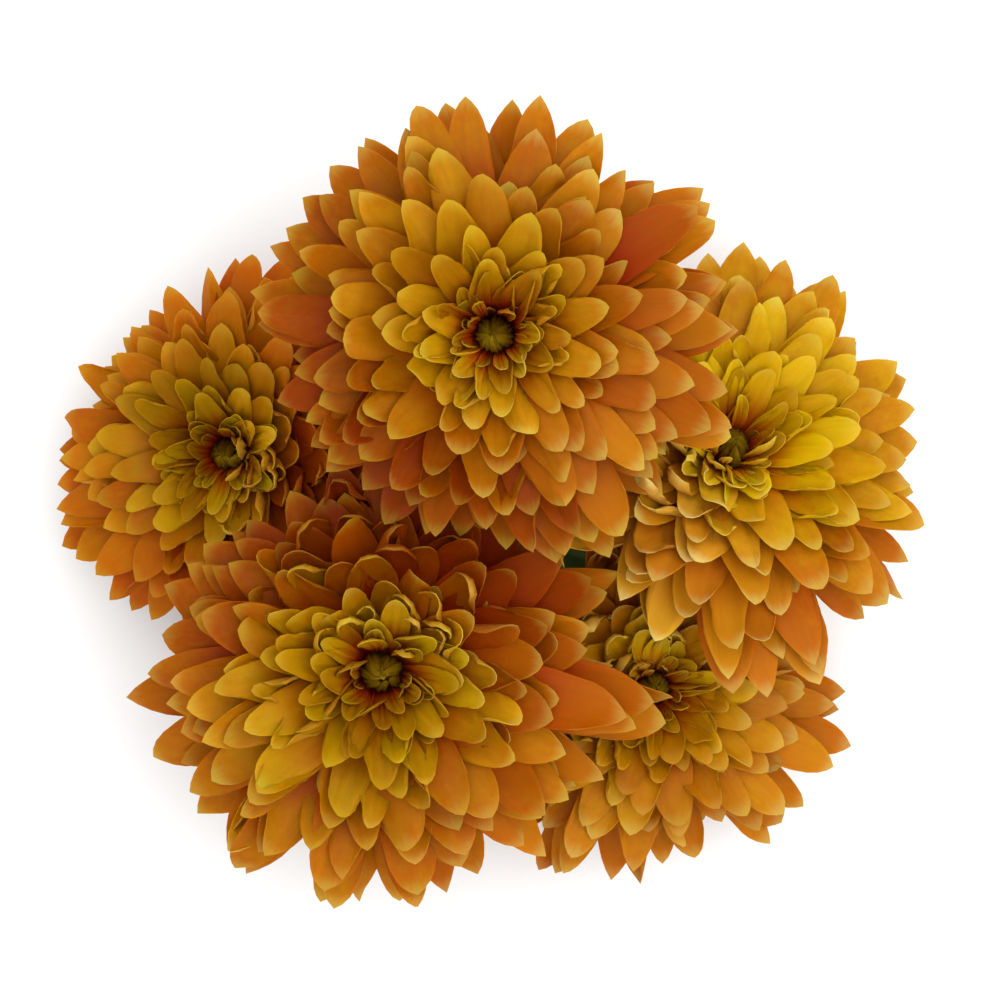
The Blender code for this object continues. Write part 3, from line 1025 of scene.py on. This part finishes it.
print(f"petals may stand {PROUD * 1000:.0f} mm out of the box")

# %% [markdown]
# Now the rows can be made, from the outermost petal to the innermost. Each bloom has a heap in its
# own frame. One more heap, in the world's frame, does the same where a high bloom leans on a lower
# one, which is why the blooms are made from the lowest to the highest.

# %% Make the rows of petals
GOLDEN_TURN = math.pi * (3 - math.sqrt(5))
PETAL_THICKNESS = 0.0005
PETAL_SEED = 100


def make_petals(bloom, chance, world_heap):
    """All rows of a bloom's petals, each row a piece."""
    skirts = [Skirt(bloom, number, look.count) for number, look in enumerate(LOOKS, start=1)]
    heap = Heap()
    finished = []
    turn = chance.uniform(0, 2 * math.pi)
    for row, look in enumerate(LOOKS):
        bm = petal_bmesh()
        count = round(look.count * bloom.fullness)
        for place in range(count):
            turn += GOLDEN_TURN
            age = row - 0.5 + place / count
            petal = within_box(grow_petal(bloom, skirts, age, turn % (2 * math.pi), chance), bloom)
            points = heap.rest(petal_points(petal))
            heap.add(points)
            points = world_heap.rest(moved(points, bloom.place))
            finished.append(points)
            add_petal(bm, petal, points)
        add_piece(f"{bloom.name}_petals_{row + 1}", bm, PETALS[bloom.name],
                  [f"{bloom.name}_bloom_petals_{row + 1}"], PETAL_THICKNESS)
    for points in finished:
        world_heap.add(points)
    print(f"{bloom.name} bloom: {len(finished)} petals")
    return heap


WORLD_HEAP = Heap()
HEAPS = {}
for bloom in sorted(BLOOMS, key=lambda bloom: bloom.place.translation.z):
    seed = PETAL_SEED + BLOOMS.index(bloom)
    HEAPS[bloom.name] = make_petals(bloom, random.Random(seed), WORLD_HEAP)

# %% [markdown]
# ## The heart
# In the middle the petals are still small and stand almost upright round a bud. The bud is made of
# florets that close over each other. They are petals too, so the same formula makes them: a
# negative bend curls them inwards until their tips meet. They grow in rings, because a spiral of so
# few florets would leave gaps between them.

# %% Describe the rings of florets
Ring = namedtuple("Ring", "count foot_radius foot_height length slope width bend hood cup point "
                          "ripeness")

RINGS = (                # outermost first; lengths are shares of the heart's height
    Ring(7, 0.30, 0.02, 1.40, 50, 0.50, 24, 30, 50, 0.75, 1.00),
    Ring(7, 0.30, 0.06, 1.24, 58, 0.44, 18, 34, 54, 0.80, 1.00),
    Ring(6, 0.29, 0.10, 1.08, 66, 0.36, 10, 36, 54, 0.85, 0.95),
    Ring(6, 0.28, 0.14, 0.94, 72, 0.26, 2, 30, 50, 0.90, 0.85),
    Ring(8, 0.28, 0.16, 0.84, 71, 0.20, -24, 10, 40, 0.90, 0.75),
    Ring(7, 0.23, 0.18, 0.76, 106, 0.29, -84, 0, 86, 1.2, 0.60),
    Ring(5, 0.13, 0.46, 0.52, 112, 0.23, -80, 0, 86, 1.2, 0.35),
)
print(sum(ring.count for ring in RINGS), "florets in a heart")

# %% [markdown]
# A floret's numbers are measured in heights of the heart's solid, so a larger heart gets larger
# florets. In the bud they are packed too closely to differ much from each other.

# %% Grow a floret
HEART_PAINTED_SHADE = 0.08    # painted shade on all florets: young florets stand in each other's shade
BUD_BEND = -50           # florets that curl in more than this belong to the bud
BUD_LOOSE = 0.6          # how much they differ from each other, compared with the open ones


def grow_floret(bloom, ring, place, offset, foot, height, chance):
    """The floret at a place in a ring, over a heart's solid with this foot and height."""
    loose = BUD_LOOSE if ring.bend < BUD_BEND else 1.0
    return Petal(
        foot_radius=ring.foot_radius * height,
        foot_height=foot + ring.foot_height * height,
        length=ring.length * height * (1 + chance.uniform(-0.24, 0.12) * loose),
        slope=math.radians(ring.slope + chance.gauss(0, 6) * loose),
        turn=2 * math.pi * (place + offset + chance.gauss(0, 0.2) * loose) / ring.count,
        width=ring.width * height * (1 + chance.uniform(-0.25, 0.25) * loose),
        bend=math.radians(ring.bend + chance.gauss(0, 9) * loose),
        hood=math.radians(ring.hood),
        cup=math.radians(ring.cup * (1 + chance.uniform(-0.5, 0.4) * loose)),
        fold=chance.uniform(0.0, 0.14),
        point=ring.point,
        acute=0.3,
        ruffle=chance.uniform(0.0, 0.1) * loose,
        sweep=chance.gauss(0, 0.09) * loose,
        roll=math.radians(chance.gauss(0, 22)) * loose,
        twist=math.radians(chance.gauss(0, 22)) * loose,
        ripeness=ring.ripeness,
        tint=chance.random(),
        # painted shade on the florets, most on the side that faces away from the light
        deepness=HEART_PAINTED_SHADE + chance.gauss(0, 0.06)
        + CUP_SHADE * math.cos(2 * math.pi * place / ring.count - bloom.inner_shady),
    )


print("in the bud florets differ", BUD_LOOSE, "times as much as outside it")

# %% [markdown]
# The open florets lie on the young petals and on each other, so they rest on the bloom's heap. The
# ones that curl in are held up by the bud. If they rested on the heap too, it would push them up
# and apart.

# %% Make the hearts
HELD_UP = -20            # florets that curl in more than this don't lie on others
BUD_FINISH = 2           # the bud's place in the heart's list of materials
FLORET_THICKNESS = 0.0004
HEART_SEED = 200


def make_heart(bloom, chance):
    """The florets in the middle of one bloom."""
    heights = bloom_points(bloom, "heart")[:, 2]
    foot = heights.min()
    height = heights.max() - foot
    bm = petal_bmesh()
    for ring in RINGS:
        offset = chance.random()
        for place in range(ring.count):
            floret = grow_floret(bloom, ring, place, offset, foot, height, chance)
            points = petal_points(floret)
            if ring.bend > HELD_UP:
                points = HEAPS[bloom.name].rest(points, stiff=True)
                HEAPS[bloom.name].add(points)
            finish = BUD_FINISH if ring.bend < BUD_BEND else 0
            add_petal(bm, floret, moved(points, bloom.place), finish)
    return add_piece(f"{bloom.name}_heart", bm, [*PETALS[bloom.name], BUD_OLIVE, BUD_OLIVE],
                     [f"{bloom.name}_bloom_heart"], FLORET_THICKNESS)


for index, bloom in enumerate(BLOOMS):
    heart = make_heart(bloom, random.Random(HEART_SEED + index))
    print(heart.name, "has", len(heart.data.polygons), "faces")

# %% [markdown]
# ## Green tissue
# Stem, cups and leaves are all soft green tissue, but not the same green: the stem is pale and
# ribbed, the leaves are dark above and greyish below. Two small node groups give them their
# patterns. The stem's is only mottled, with spots that are drawn out along the stem.

# %% Build the stem's pattern
def make_green_pattern():
    """Node group: mottled green, for stems and scales."""
    tree, given, result = new_group("green_pattern", [("Dark", COLOUR), ("Pale", COLOUR)],
                                    [("Colour", COLOUR), ("Relief", VALUE)])
    place = place_in_spray(tree)
    stretched = new_node(tree, "ShaderNodeMapping", {"Vector": place, "Scale": (1.0, 1.0, 0.25)})
    mottle = noise(tree, stretched.outputs[0], 900.0, 4.0, 0.6)
    patches = noise(tree, place, 90.0, 2.0, 0.5)
    share = maths(tree, "ADD", maths(tree, "MULTIPLY", mottle, 0.6), maths(tree, "MULTIPLY", patches, 0.5))
    colour = mix_colour(tree, ramp(tree, share, 0.35, 0.75), given.outputs["Dark"],
                        given.outputs["Pale"])
    tree.links.new(colour, result.inputs["Colour"])
    tree.links.new(mottle, result.inputs["Relief"])
    return tree


GREEN_PATTERN = make_green_pattern()
print("stem pattern has", len(GREEN_PATTERN.nodes), "nodes")

# %% [markdown]
# The leaf's pattern also has pale veins. They leave the middle vein at even steps and lean forward to
# the lobes, so a vein is where the place along the leaf, less something for the place across it,
# comes to a whole step. The fraction that is left over tells how far off the vein a point is.

# %% Build the leaf's pattern
LEAF_VEINS = 6.0         # side veins on each half of a leaf
VEIN_LEAN = 0.9          # how many steps a side vein has gone forward when it reaches the edge


def make_leaf_pattern():
    """Node group: a leaf's green with its veins."""
    tree, given, result = new_group("leaf_pattern", [("Dark", COLOUR), ("Pale", COLOUR), ("Vein", COLOUR)],
                                    [("Colour", COLOUR), ("Relief", VALUE)])
    across, along = place_on_blade(tree)
    aside = from_midrib(tree, across)
    cells = noise(tree, place_in_spray(tree), 700.0, 3.0, 0.6)
    patches = noise(tree, place_in_spray(tree), 110.0, 2.0, 0.5)
    steps = maths(tree, "SUBTRACT", maths(tree, "MULTIPLY", along, LEAF_VEINS),
                  maths(tree, "MULTIPLY", aside, VEIN_LEAN))
    beside = maths(tree, "ABSOLUTE", maths(tree, "SUBTRACT", maths(tree, "FRACT", steps)))
    side_vein = maths(tree, "MULTIPLY", ramp(tree, beside, 0.09, 0.02), ramp(tree, aside, 0.95, 0.3))
    vein = maths(tree, "MAXIMUM", side_vein, ramp(tree, aside, 0.10, 0.03))
    colour = mix_colour(tree, ramp(tree, patches, 0.3, 0.7), given.outputs["Dark"], given.outputs["Pale"])
    colour = mix_colour(tree, maths(tree, "MULTIPLY", vein, 0.7), colour, given.outputs["Vein"])
    colour = mix_colour(tree, ramp(tree, cells, 0.3, 0.7, 0.0, 0.25), colour, given.outputs["Dark"])
    tree.links.new(colour, result.inputs["Colour"])
    tree.links.new(maths(tree, "SUBTRACT", cells, vein), result.inputs["Relief"])
    return tree


LEAF_PATTERN = make_leaf_pattern()
print("leaf pattern has", len(LEAF_PATTERN.nodes), "nodes")

# %% [markdown]
# The green finishes share one recipe: a pattern for the colour and the relief, a gloss that differs
# from tissue to tissue, and a little scattering below the surface, which lets green light through
# most. The pith where the stem was cut is nearly white, and rough.

# %% Make the green finishes
def green_finish(name, pattern, colours, roughness, relief):
    """A green material: its pattern's colours, and how deep its relief is, in metres."""
    material = bpy.data.materials.new(name)
    material.use_nodes = True
    tree = material.node_tree
    shader = tree.nodes["Principled BSDF"]
    group = new_node(tree, "ShaderNodeGroup", dict(enumerate(colours)), node_tree=pattern)
    bump = new_node(tree, "ShaderNodeBump", {"Height": group.outputs["Relief"], "Strength": 0.5,
                                             "Distance": relief})
    tree.links.new(group.outputs["Colour"], shader.inputs["Base Color"])
    tree.links.new(bump.outputs[0], shader.inputs["Normal"])
    shader.inputs["Roughness"].default_value = roughness
    shader.inputs["Specular IOR Level"].default_value = 0.3
    shader.inputs["Subsurface Weight"].default_value = 0.15
    shader.inputs["Subsurface Radius"].default_value = (0.3, 1.0, 0.1)
    shader.inputs["Subsurface Scale"].default_value = 0.0008
    return material


STEM_GREEN = green_finish("stem_skin", GREEN_PATTERN,
                          [rgba(0.060, 0.110, 0.018), rgba(0.150, 0.220, 0.050)], 0.50, 0.00020)
CUT_PITH = green_finish("cut_pith", GREEN_PATTERN,
                        [rgba(0.330, 0.360, 0.180), rgba(0.480, 0.480, 0.300)], 0.70, 0.00020)
SCALE_GREEN = green_finish("scale_green", GREEN_PATTERN,
                           [rgba(0.045, 0.090, 0.015), rgba(0.120, 0.180, 0.040)], 0.55, 0.00015)
LEAF_FACE = green_finish("leaf_face", LEAF_PATTERN,
                         [rgba(0.018, 0.058, 0.012), rgba(0.040, 0.100, 0.020),
                          rgba(0.120, 0.190, 0.060)], 0.45, 0.00020)
LEAF_BACK = green_finish("leaf_back", LEAF_PATTERN,
                         [rgba(0.070, 0.120, 0.050), rgba(0.110, 0.165, 0.075),
                          rgba(0.200, 0.260, 0.130)], 0.65, 0.00025)
greens = (STEM_GREEN, CUT_PITH, SCALE_GREEN, LEAF_FACE, LEAF_BACK)
print("greens:", ", ".join(green.name for green in greens))

# %% [markdown]
# ## Stems
# A chrysanthemum's stem isn't a smooth pipe: low ribs run down it, and it swells a little where a
# side stalk leaves it. A curve with a bevel would be a quick tube, but a round one. Here a capped
# cylinder of length 1 is cut into short lengths, and a formula then moves each ring of points to its
# place along the stem's middle line. The rings turn just enough to stay square to the line, so the
# tube doesn't pinch or twist.

# %% Grow tubes
RIB_DEPTH = 0.06         # how much narrower a stem is between its ribs, as a share of its width


def ring_frames(path):
    """For each point of a path, the rotation from Z to the path's direction there."""
    ahead = [(after - before).normalized() for before, after in zip(path, path[1:])]
    ahead.append(ahead[-1])
    turns = [Vector((0, 0, 1)).rotation_difference(ahead[0])]
    for before, after in zip(ahead, ahead[1:]):
        turns.append(before.rotation_difference(after) @ turns[-1])
    return turns


def tube_bmesh(path, sides, radius):
    """A closed tube along a path. radius(share, turn) gives how far its skin is from the path."""
    bm = bmesh.new()
    bmesh.ops.create_cone(bm, cap_ends=True, segments=sides, radius1=1.0, radius2=1.0, depth=1.0)
    upright = [edge for edge in bm.edges if abs(edge.verts[0].co.z - edge.verts[1].co.z) > 0.5]
    bmesh.ops.subdivide_edges(bm, edges=upright, cuts=len(path) - 2)
    turns = ring_frames(path)
    for vert in bm.verts:
        share = vert.co.z + 0.5
        ring = round(share * (len(path) - 1))
        turn = math.atan2(vert.co.y, vert.co.x)
        around = Vector((math.cos(turn), math.sin(turn), 0.0)) * radius(share, turn)
        vert.co = path[ring] + turns[ring] @ around
    return bm


def ribbed(width, ribs=6):
    """A radius for tube_bmesh: width(share) with low rounded ribs."""
    return lambda share, turn: width(share) * (1 - RIB_DEPTH * (0.5 - 0.5 * math.cos(ribs * turn)) ** 2)


print("between its ribs a stem is", ribbed(lambda share: 1.0)(0.5, math.pi / 6), "of its full width")

# %% [markdown]
# A side stalk leaves the stem at a slant and bends up until it runs straight into its bloom's cup.
# A curve with four control points does that: the two inner ones set the directions at its ends. The
# ends are read from the solids and then pushed a little way into the stem and the cup.

# %% Bend the stalks
STALK_STEPS = 22
STALK_SLANT = math.radians(32)
SOCKET_HEIGHT = 0.0017   # metres: where a stalk leaves the stem, above its solid's lowest point
SOCKET_RADIUS = 0.0047   # and from the stem's middle
PULL_AT_STEM = 0.35      # how far a stalk keeps its first direction, as a share of its reach
PULL_AT_CUP = 0.2        # and its last one
INTO_STEM = 0.0028       # metres that its ends are pushed into the stem
INTO_CUP = 0.002         # and into the cup


def curve_point(controls, share):
    """A point on the smooth curve that four control points give."""
    points = list(controls)
    while len(points) > 1:
        points = [before.lerp(after, share) for before, after in zip(points, points[1:])]
    return points[0]


def stalk_path(bloom, stem):
    """The middle line of a bloom's stalk, from inside the stem to inside the bloom's cup."""
    end = bloom.place @ Vector((0.0, 0.0, bloom_points(bloom, "calyx")[:, 2].min()))
    solid = node_points(f"{bloom.name}_bloom_stalk")
    foot = solid[:, 2].min()
    if foot > stem.z:                        # the top bloom's stalk carries the stem on
        out = Vector((0.0, 0.0, 1.0))
        start = Vector((stem.x, stem.y, foot))
    else:
        away = Vector((end.x - stem.x, end.y - stem.y, 0.0)).normalized()
        out = away * math.cos(STALK_SLANT) + Vector((0.0, 0.0, math.sin(STALK_SLANT)))
        start = Vector((stem.x, stem.y, foot + SOCKET_HEIGHT)) + away * SOCKET_RADIUS
    reach = (end - start).length
    controls = (start, start + out * reach * PULL_AT_STEM, end - bloom.up * reach * PULL_AT_CUP, end)
    path = [curve_point(controls, step / STALK_STEPS) for step in range(STALK_STEPS + 1)]
    return [start - out * INTO_STEM, *path, end + bloom.up * INTO_CUP]


print(f"stalks leave the stem {math.degrees(STALK_SLANT):.0f} degrees up from level")

# %% [markdown]
# The stem is cut off straight, so its foot shows pale pith inside the green skin. The end of the
# cylinder is one face with many corners, which makes it easy to find and to give its own material.

# %% Make the stem and the stalks
STEM_STEPS = 20
STEM_SHORTER = 0.001     # metres: the stem ends inside the foot of the top bloom's stalk
STEM_FOOT = 0.0034       # its radius at the cut
STEM_TAPER = 0.0008      # how much thinner it is at the top
SWELLING = 0.0004        # how much thicker it is where a stalk leaves it
SWELLING_LENGTH = 0.0025
SWELLING_ABOVE = 0.001   # where it is thickest, above the lowest point of the stalk's solid
STALK_RADIUS = 0.00175
STALK_FLARE = 0.00055    # how much thicker a stalk is at its foot


def make_stem():
    """The main stem, cut off straight at its foot, and the five stalks."""
    solid = node_points("main_stem")
    middle = Vector(((solid[:, 0].min() + solid[:, 0].max()) / 2,
                     (solid[:, 1].min() + solid[:, 1].max()) / 2, solid[:, 2].max() - STEM_SHORTER))
    path = [Vector((middle.x, middle.y, middle.z * step / STEM_STEPS)) for step in range(STEM_STEPS + 1)]
    joints = [min(node_points(f"{bloom.name}_bloom_stalk")[:, 2]) for bloom in BLOOMS]

    def width(share):
        above = [share * middle.z - joint - SWELLING_ABOVE for joint in joints]
        swelling = sum(math.exp(-(height / SWELLING_LENGTH) ** 2) for height in above)
        return STEM_FOOT - STEM_TAPER * share ** 2 + SWELLING * min(swelling, 1.0)

    bm = tube_bmesh(path, 36, ribbed(width))
    for face in bm.faces:
        if len(face.verts) > 4 and face.calc_center_median().z < 0.001:
            face.material_index = 1
    stem = add_piece("stem", bm, [STEM_GREEN, CUT_PITH], ["main_stem"])
    stem.data.set_sharp_from_angle(angle=math.radians(50))
    for bloom in BLOOMS:
        bm = tube_bmesh(stalk_path(bloom, middle), 24,
                        ribbed(lambda share: STALK_RADIUS + STALK_FLARE * (1 - share) ** 6, 5))
        add_piece(f"{bloom.name}_stalk", bm, [STEM_GREEN], [f"{bloom.name}_bloom_stalk"])
    return middle


STEM = make_stem()
print("stem at", [round(value, 4) for value in STEM])

# %% [markdown]
# ## The cups under the blooms
# From below or from the side a bloom shows its cup of overlapping green scales. The body of the cup
# follows the solid: its outline is measured at each height and turned round the axis. The scales are
# small pointed petals in two rings, with the same formula as before.

# %% Make the cups
ScaleRing = namedtuple("ScaleRing", "count foot_radius foot_height length slope width offset")
SCALE_RINGS = (
    ScaleRing(13, 0.0030, 0.0001, 0.0072, 28, 0.0036, 0.03),
    ScaleRing(13, 0.0052, 0.0016, 0.0062, 46, 0.0036, 0.48),
)
SCALE_THICKNESS = 0.0005
CUP_STEPS = 28
CUP_SLIMMER = 0.97       # the cup's body is this much slimmer than its solid, inside its scales
CUP_SEED = 300


def make_cup(bloom, chance):
    """The green cup of one bloom, with its scales."""
    local = bloom_points(bloom, "calyx")
    heights = np.unique(local[:, 2].round(4))
    radii = [np.hypot(*local[np.abs(local[:, 2] - height) < 0.0001, :2].T).max() for height in heights]
    path = [bloom.place @ Vector((0, 0, np.interp(step / CUP_STEPS, (0, 1), (heights[0], heights[-1]))))
            for step in range(CUP_STEPS + 1)]
    body = tube_bmesh(path, 24, lambda share, turn: CUP_SLIMMER * np.interp(
        heights[0] + share * (heights[-1] - heights[0]), heights, radii))
    bm = petal_bmesh()
    for ring in SCALE_RINGS:
        for place in range(ring.count):
            scale = Petal(
                foot_radius=ring.foot_radius, foot_height=heights[0] + ring.foot_height,
                length=ring.length * chance.uniform(0.9, 1.1), slope=math.radians(ring.slope),
                turn=2 * math.pi * (place + ring.offset + chance.gauss(0, 0.1)) / ring.count,
                width=ring.width * chance.uniform(0.9, 1.1), bend=math.radians(-26), hood=0.0,
                cup=math.radians(40), fold=0.0, point=1.0, acute=0.6, ruffle=0.0,
                sweep=chance.gauss(0, 0.03), roll=math.radians(chance.gauss(0, 5)), twist=0.0,
                ripeness=0.0, tint=chance.random(), deepness=0.0)
            add_petal(bm, scale, moved(petal_points(scale), bloom.place))
    scales = add_piece(f"{bloom.name}_cup_scales", bm, [SCALE_GREEN, SCALE_GREEN],
                       [f"{bloom.name}_bloom_calyx"], SCALE_THICKNESS)
    cup = add_piece(f"{bloom.name}_cup", body, [STEM_GREEN],
                    [f"{bloom.name}_bloom_calyx"])
    return cup, scales


for index, bloom in enumerate(BLOOMS):
    cup, scales = make_cup(bloom, random.Random(CUP_SEED + index))
    print(cup.name, "and", scales.name)

# %% [markdown]
# ## Leaves
# The leaves are lobed like an oak's, with blunt teeth. The outline could be drawn as a curve and
# filled, but such a leaf is hard to bend. Again a flat grid is moved by a formula: the half width
# swells and narrows for the lobes, which also lean forward, and a finer wave cuts the teeth.

# %% Outline a leaf
LEAF_LOBES = 3
LEAF_TEETH = 13
LEAF_STALK = 0.14        # the share of a leaf's length that is its bare stalk
LEAF_BLADE = 0.86        # and the share that is its blade
MIDRIB_WIDTH = 0.0011    # metres, as are the next widths and leans
LEAF_WIDTH = 0.0150      # half the blade's width
LOBE_DEPTH = 0.46        # how deep the gaps between lobes are, as a share of the half width
LOBE_LEAN = 0.0045       # how far a lobe points forward
TOOTH_LEAN = 0.0012      # and a tooth


def leaf_outline(along):
    """Half width, and how far the edge leans forward, at a place along a leaf, in metres."""
    blade = max(0.0, (along - LEAF_STALK) / LEAF_BLADE)
    spread = max(0.0, math.sin(math.pi * blade ** 0.75) * (1 - 0.15 * blade))
    gap = (0.5 - 0.5 * math.cos(2 * math.pi * (LEAF_LOBES * blade + 0.15))) ** 1.5
    tooth = abs(math.sin(math.pi * LEAF_TEETH * blade))
    half_width = MIDRIB_WIDTH + LEAF_WIDTH * spread * (1 - LOBE_DEPTH * gap + 0.06 * (tooth - 0.6))
    return half_width, LOBE_LEAN * spread * (1 - gap) + TOOTH_LEAN * spread * tooth


print(f"the widest leaf could be {2 * (MIDRIB_WIDTH + LEAF_WIDTH) * 1000:.0f} mm across")

# %% [markdown]
# A leaf's middle line is fitted to the points of its solid that lie near it, with a smooth
# polynomial that runs between the solid's upper and lower faces. So the leaf arches as the solid
# does and rests its tip on the floor. The blade sinks a little along its veins and bulges between
# them, where the pattern draws the veins too.

# %% Bend a leaf
NEAR_MIDRIB = 0.0012     # metres: points this near the leaf's middle line are on its midrib
ARCH_DEGREE = 5          # of the polynomial
LEAF_INTO_STEM = 0.0014  # metres that a leaf's foot is pushed into the stem
MIDRIB_SHARE = 0.09      # the midrib's share of the half width
LEAF_WAVE = 0.0010       # metres: how high the edges wave
LEAF_TROUGH = 0.0007     # how far the sides rise over the middle, near the foot
VEIN_DEPTH = 0.0004


def leaf_bmesh(points, turn, chance):
    """A leaf that leaves the stem in the direction turn, along the middle line of its solid."""
    bm = petal_bmesh()
    bmesh.ops.create_grid(bm, x_segments=14, y_segments=64, size=1.0, calc_uvs=True)
    uv = bm.loops.layers.uv["petal_uv"]
    thin = bm.verts.layers.float["thin"]
    direction = Vector((math.cos(turn), math.sin(turn), 0.0))
    beside = Vector((math.sin(turn), -math.cos(turn), 0.0))
    out = points[:, :2] @ np.array(direction[:2])
    near = np.abs(points[:, :2] @ np.array(beside[:2])) < NEAR_MIDRIB
    middle_line = np.polynomial.Polynomial.fit(out[near], points[near, 2], ARCH_DEGREE)
    start = out[near].min() - LEAF_INTO_STEM
    length = out[near].max() - start
    wave = chance.uniform(0, 2 * math.pi)
    for vert in bm.verts:
        across = vert.co.x
        along = vert.co.y / 2 + 0.5
        for loop in vert.link_loops:
            loop[uv].uv = (across / 2 + 0.5, along)
        half_width, lean = leaf_outline(along)
        step = (along * LEAF_VEINS - abs(across) * VEIN_LEAN) % 1.0
        vein = max((0.5 - 0.5 * math.cos(2 * math.pi * step)) ** 2 * (1 - abs(across)),
                   math.exp(-(across / MIDRIB_SHARE) ** 2))
        distance = start + length * along
        height = middle_line(distance)
        height += LEAF_WAVE * math.sin(9 * along + wave + math.copysign(0.8, across)) * across ** 2
        height += LEAF_TROUGH * abs(across) * (1 - along) - VEIN_DEPTH * vein
        ahead = distance + lean * across ** 2 * min(1.0, (1 - along) * 6)
        vert[thin] = 1 - 0.6 * across ** 4
        vert.co = direction * ahead + beside * half_width * across
        vert.co.z = max(height, FLOOR_CLEARANCE)
    return bm


print(f"veins are {VEIN_DEPTH * 1000:.1f} mm deep")

# %% [markdown]
# A leaf's solid tells which way the leaf points, seen from the stem. The leaf is made round the
# middle of the spray's frame and then moved over to the stem. Like a petal it gets its thickness
# from a modifier, and its pale underside with it.

# %% Make the leaves
LEAF_THICKNESS = 0.0006
LEAF_SEED = 400


def make_leaf(number, stem, chance):
    """One leaf, where its solid is."""
    points = node_points(f"leaf_{number}") - np.array((stem.x, stem.y, 0.0))
    middle = points.mean(axis=0)
    bm = leaf_bmesh(points, math.atan2(middle[1], middle[0]), chance)
    bmesh.ops.translate(bm, verts=bm.verts, vec=(stem.x, stem.y, 0.0))
    return add_piece(f"green_leaf_{number}", bm, [LEAF_FACE, LEAF_BACK],
                     [f"leaf_{number}"], LEAF_THICKNESS)


LEAF_NAMES = sorted(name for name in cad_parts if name.startswith("leaf_"))
for index, name in enumerate(LEAF_NAMES):
    make_leaf(name.split("_")[1], STEM, random.Random(LEAF_SEED + index))
print(len(LEAF_NAMES), "leaves")

# %% [markdown]
# ## The floor
# The spray lies on a plain pale floor. It isn't part of the flowers, so it doesn't ride on anything.
# A single flat face is enough: its edges are far out of view.

# %% Lay the floor
FLOOR_SIZE = 3.0         # metres from the middle to each side


def plain_material(name, colour, roughness):
    """A flat finish, for the floor only."""
    material = bpy.data.materials.new(name)
    material.use_nodes = True
    shader = material.node_tree.nodes["Principled BSDF"]
    shader.inputs["Base Color"].default_value = colour
    shader.inputs["Roughness"].default_value = roughness
    return material


def make_floor():
    """A wide pale floor under the spray."""
    bm = bmesh.new()
    bmesh.ops.create_grid(bm, x_segments=1, y_segments=1, size=FLOOR_SIZE)
    mesh = bpy.data.meshes.new("floor")
    bm.to_mesh(mesh)
    bm.free()
    mesh.materials.append(plain_material("floor_white", rgba(0.86, 0.86, 0.86), 0.9))
    floor = bpy.data.objects.new("floor", mesh)
    bpy.context.scene.collection.objects.link(floor)


make_floor()
print(f"the floor is {2 * FLOOR_SIZE:.0f} m wide")

# %% [markdown]
# ## The light
# Flowers look best in soft light, because hard shadows hide the petals behind them. One wide square
# lamp hangs high over one side, as a window or a bright sky would be, and gives each petal a light
# and a dark side. A white world around it fills in the shade.

# %% Set the light
WINDOW_PLACE = (0.30, 0.04, 1.05)
WINDOW_TARGET = (0, 0, 0.04)
WINDOW_SIZE = 1.4        # metres
WINDOW_POWER = 12.2      # watts
SKY_STRENGTH = 1.04


def make_light(name, place, target, size, power):
    """A square soft light at place that shines towards target."""
    data = bpy.data.lights.new(name, "AREA")
    data.shape = "SQUARE"
    data.size = size
    data.energy = power
    light = bpy.data.objects.new(name, data)
    bpy.context.scene.collection.objects.link(light)
    light.location = place
    light.rotation_euler = (Vector(target) - Vector(place)).to_track_quat("-Z", "Y").to_euler()


make_light("window", WINDOW_PLACE, WINDOW_TARGET, WINDOW_SIZE, WINDOW_POWER)
world = bpy.data.worlds.new("studio")
world.use_nodes = True
background = world.node_tree.nodes["Background"]
background.inputs["Color"].default_value = rgba(1.0, 1.0, 1.0)
background.inputs["Strength"].default_value = SKY_STRENGTH
bpy.context.scene.world = world
bpy.context.scene.view_settings.view_transform = "Standard"
print(f"window {WINDOW_SIZE} m wide, {WINDOW_POWER} W")

# %% [markdown]
# ## The camera
# The spray is seen from straight above. A camera that isn't turned at all looks straight down, so
# it only has to be put over the middle of the spray. A long lens from far away keeps the high blooms
# from looking much larger than the low ones.

# %% Aim the camera
CAMERA_HEIGHT = 0.75
LENS = 128.2             # millimetres
SENSOR = 36.0            # millimetres
VIEW_SHIFT = 0.0037      # metres: the view's middle lies this far beyond the middle of the footprint


def make_camera(middle):
    """The camera, looking straight down at the middle of the spray."""
    data = bpy.data.cameras.new("camera")
    data.sensor_width = SENSOR
    data.lens = LENS
    data.clip_start = 0.01
    camera = bpy.data.objects.new("camera", data)
    bpy.context.scene.collection.objects.link(camera)
    camera.location = (middle.x, middle.y + VIEW_SHIFT, CAMERA_HEIGHT)
    bpy.context.scene.camera = camera


low_corner, high_corner = (Vector(corner) for corner in cad_box)
make_camera((low_corner + high_corner) / 2)
print(f"camera {CAMERA_HEIGHT} m over the floor")
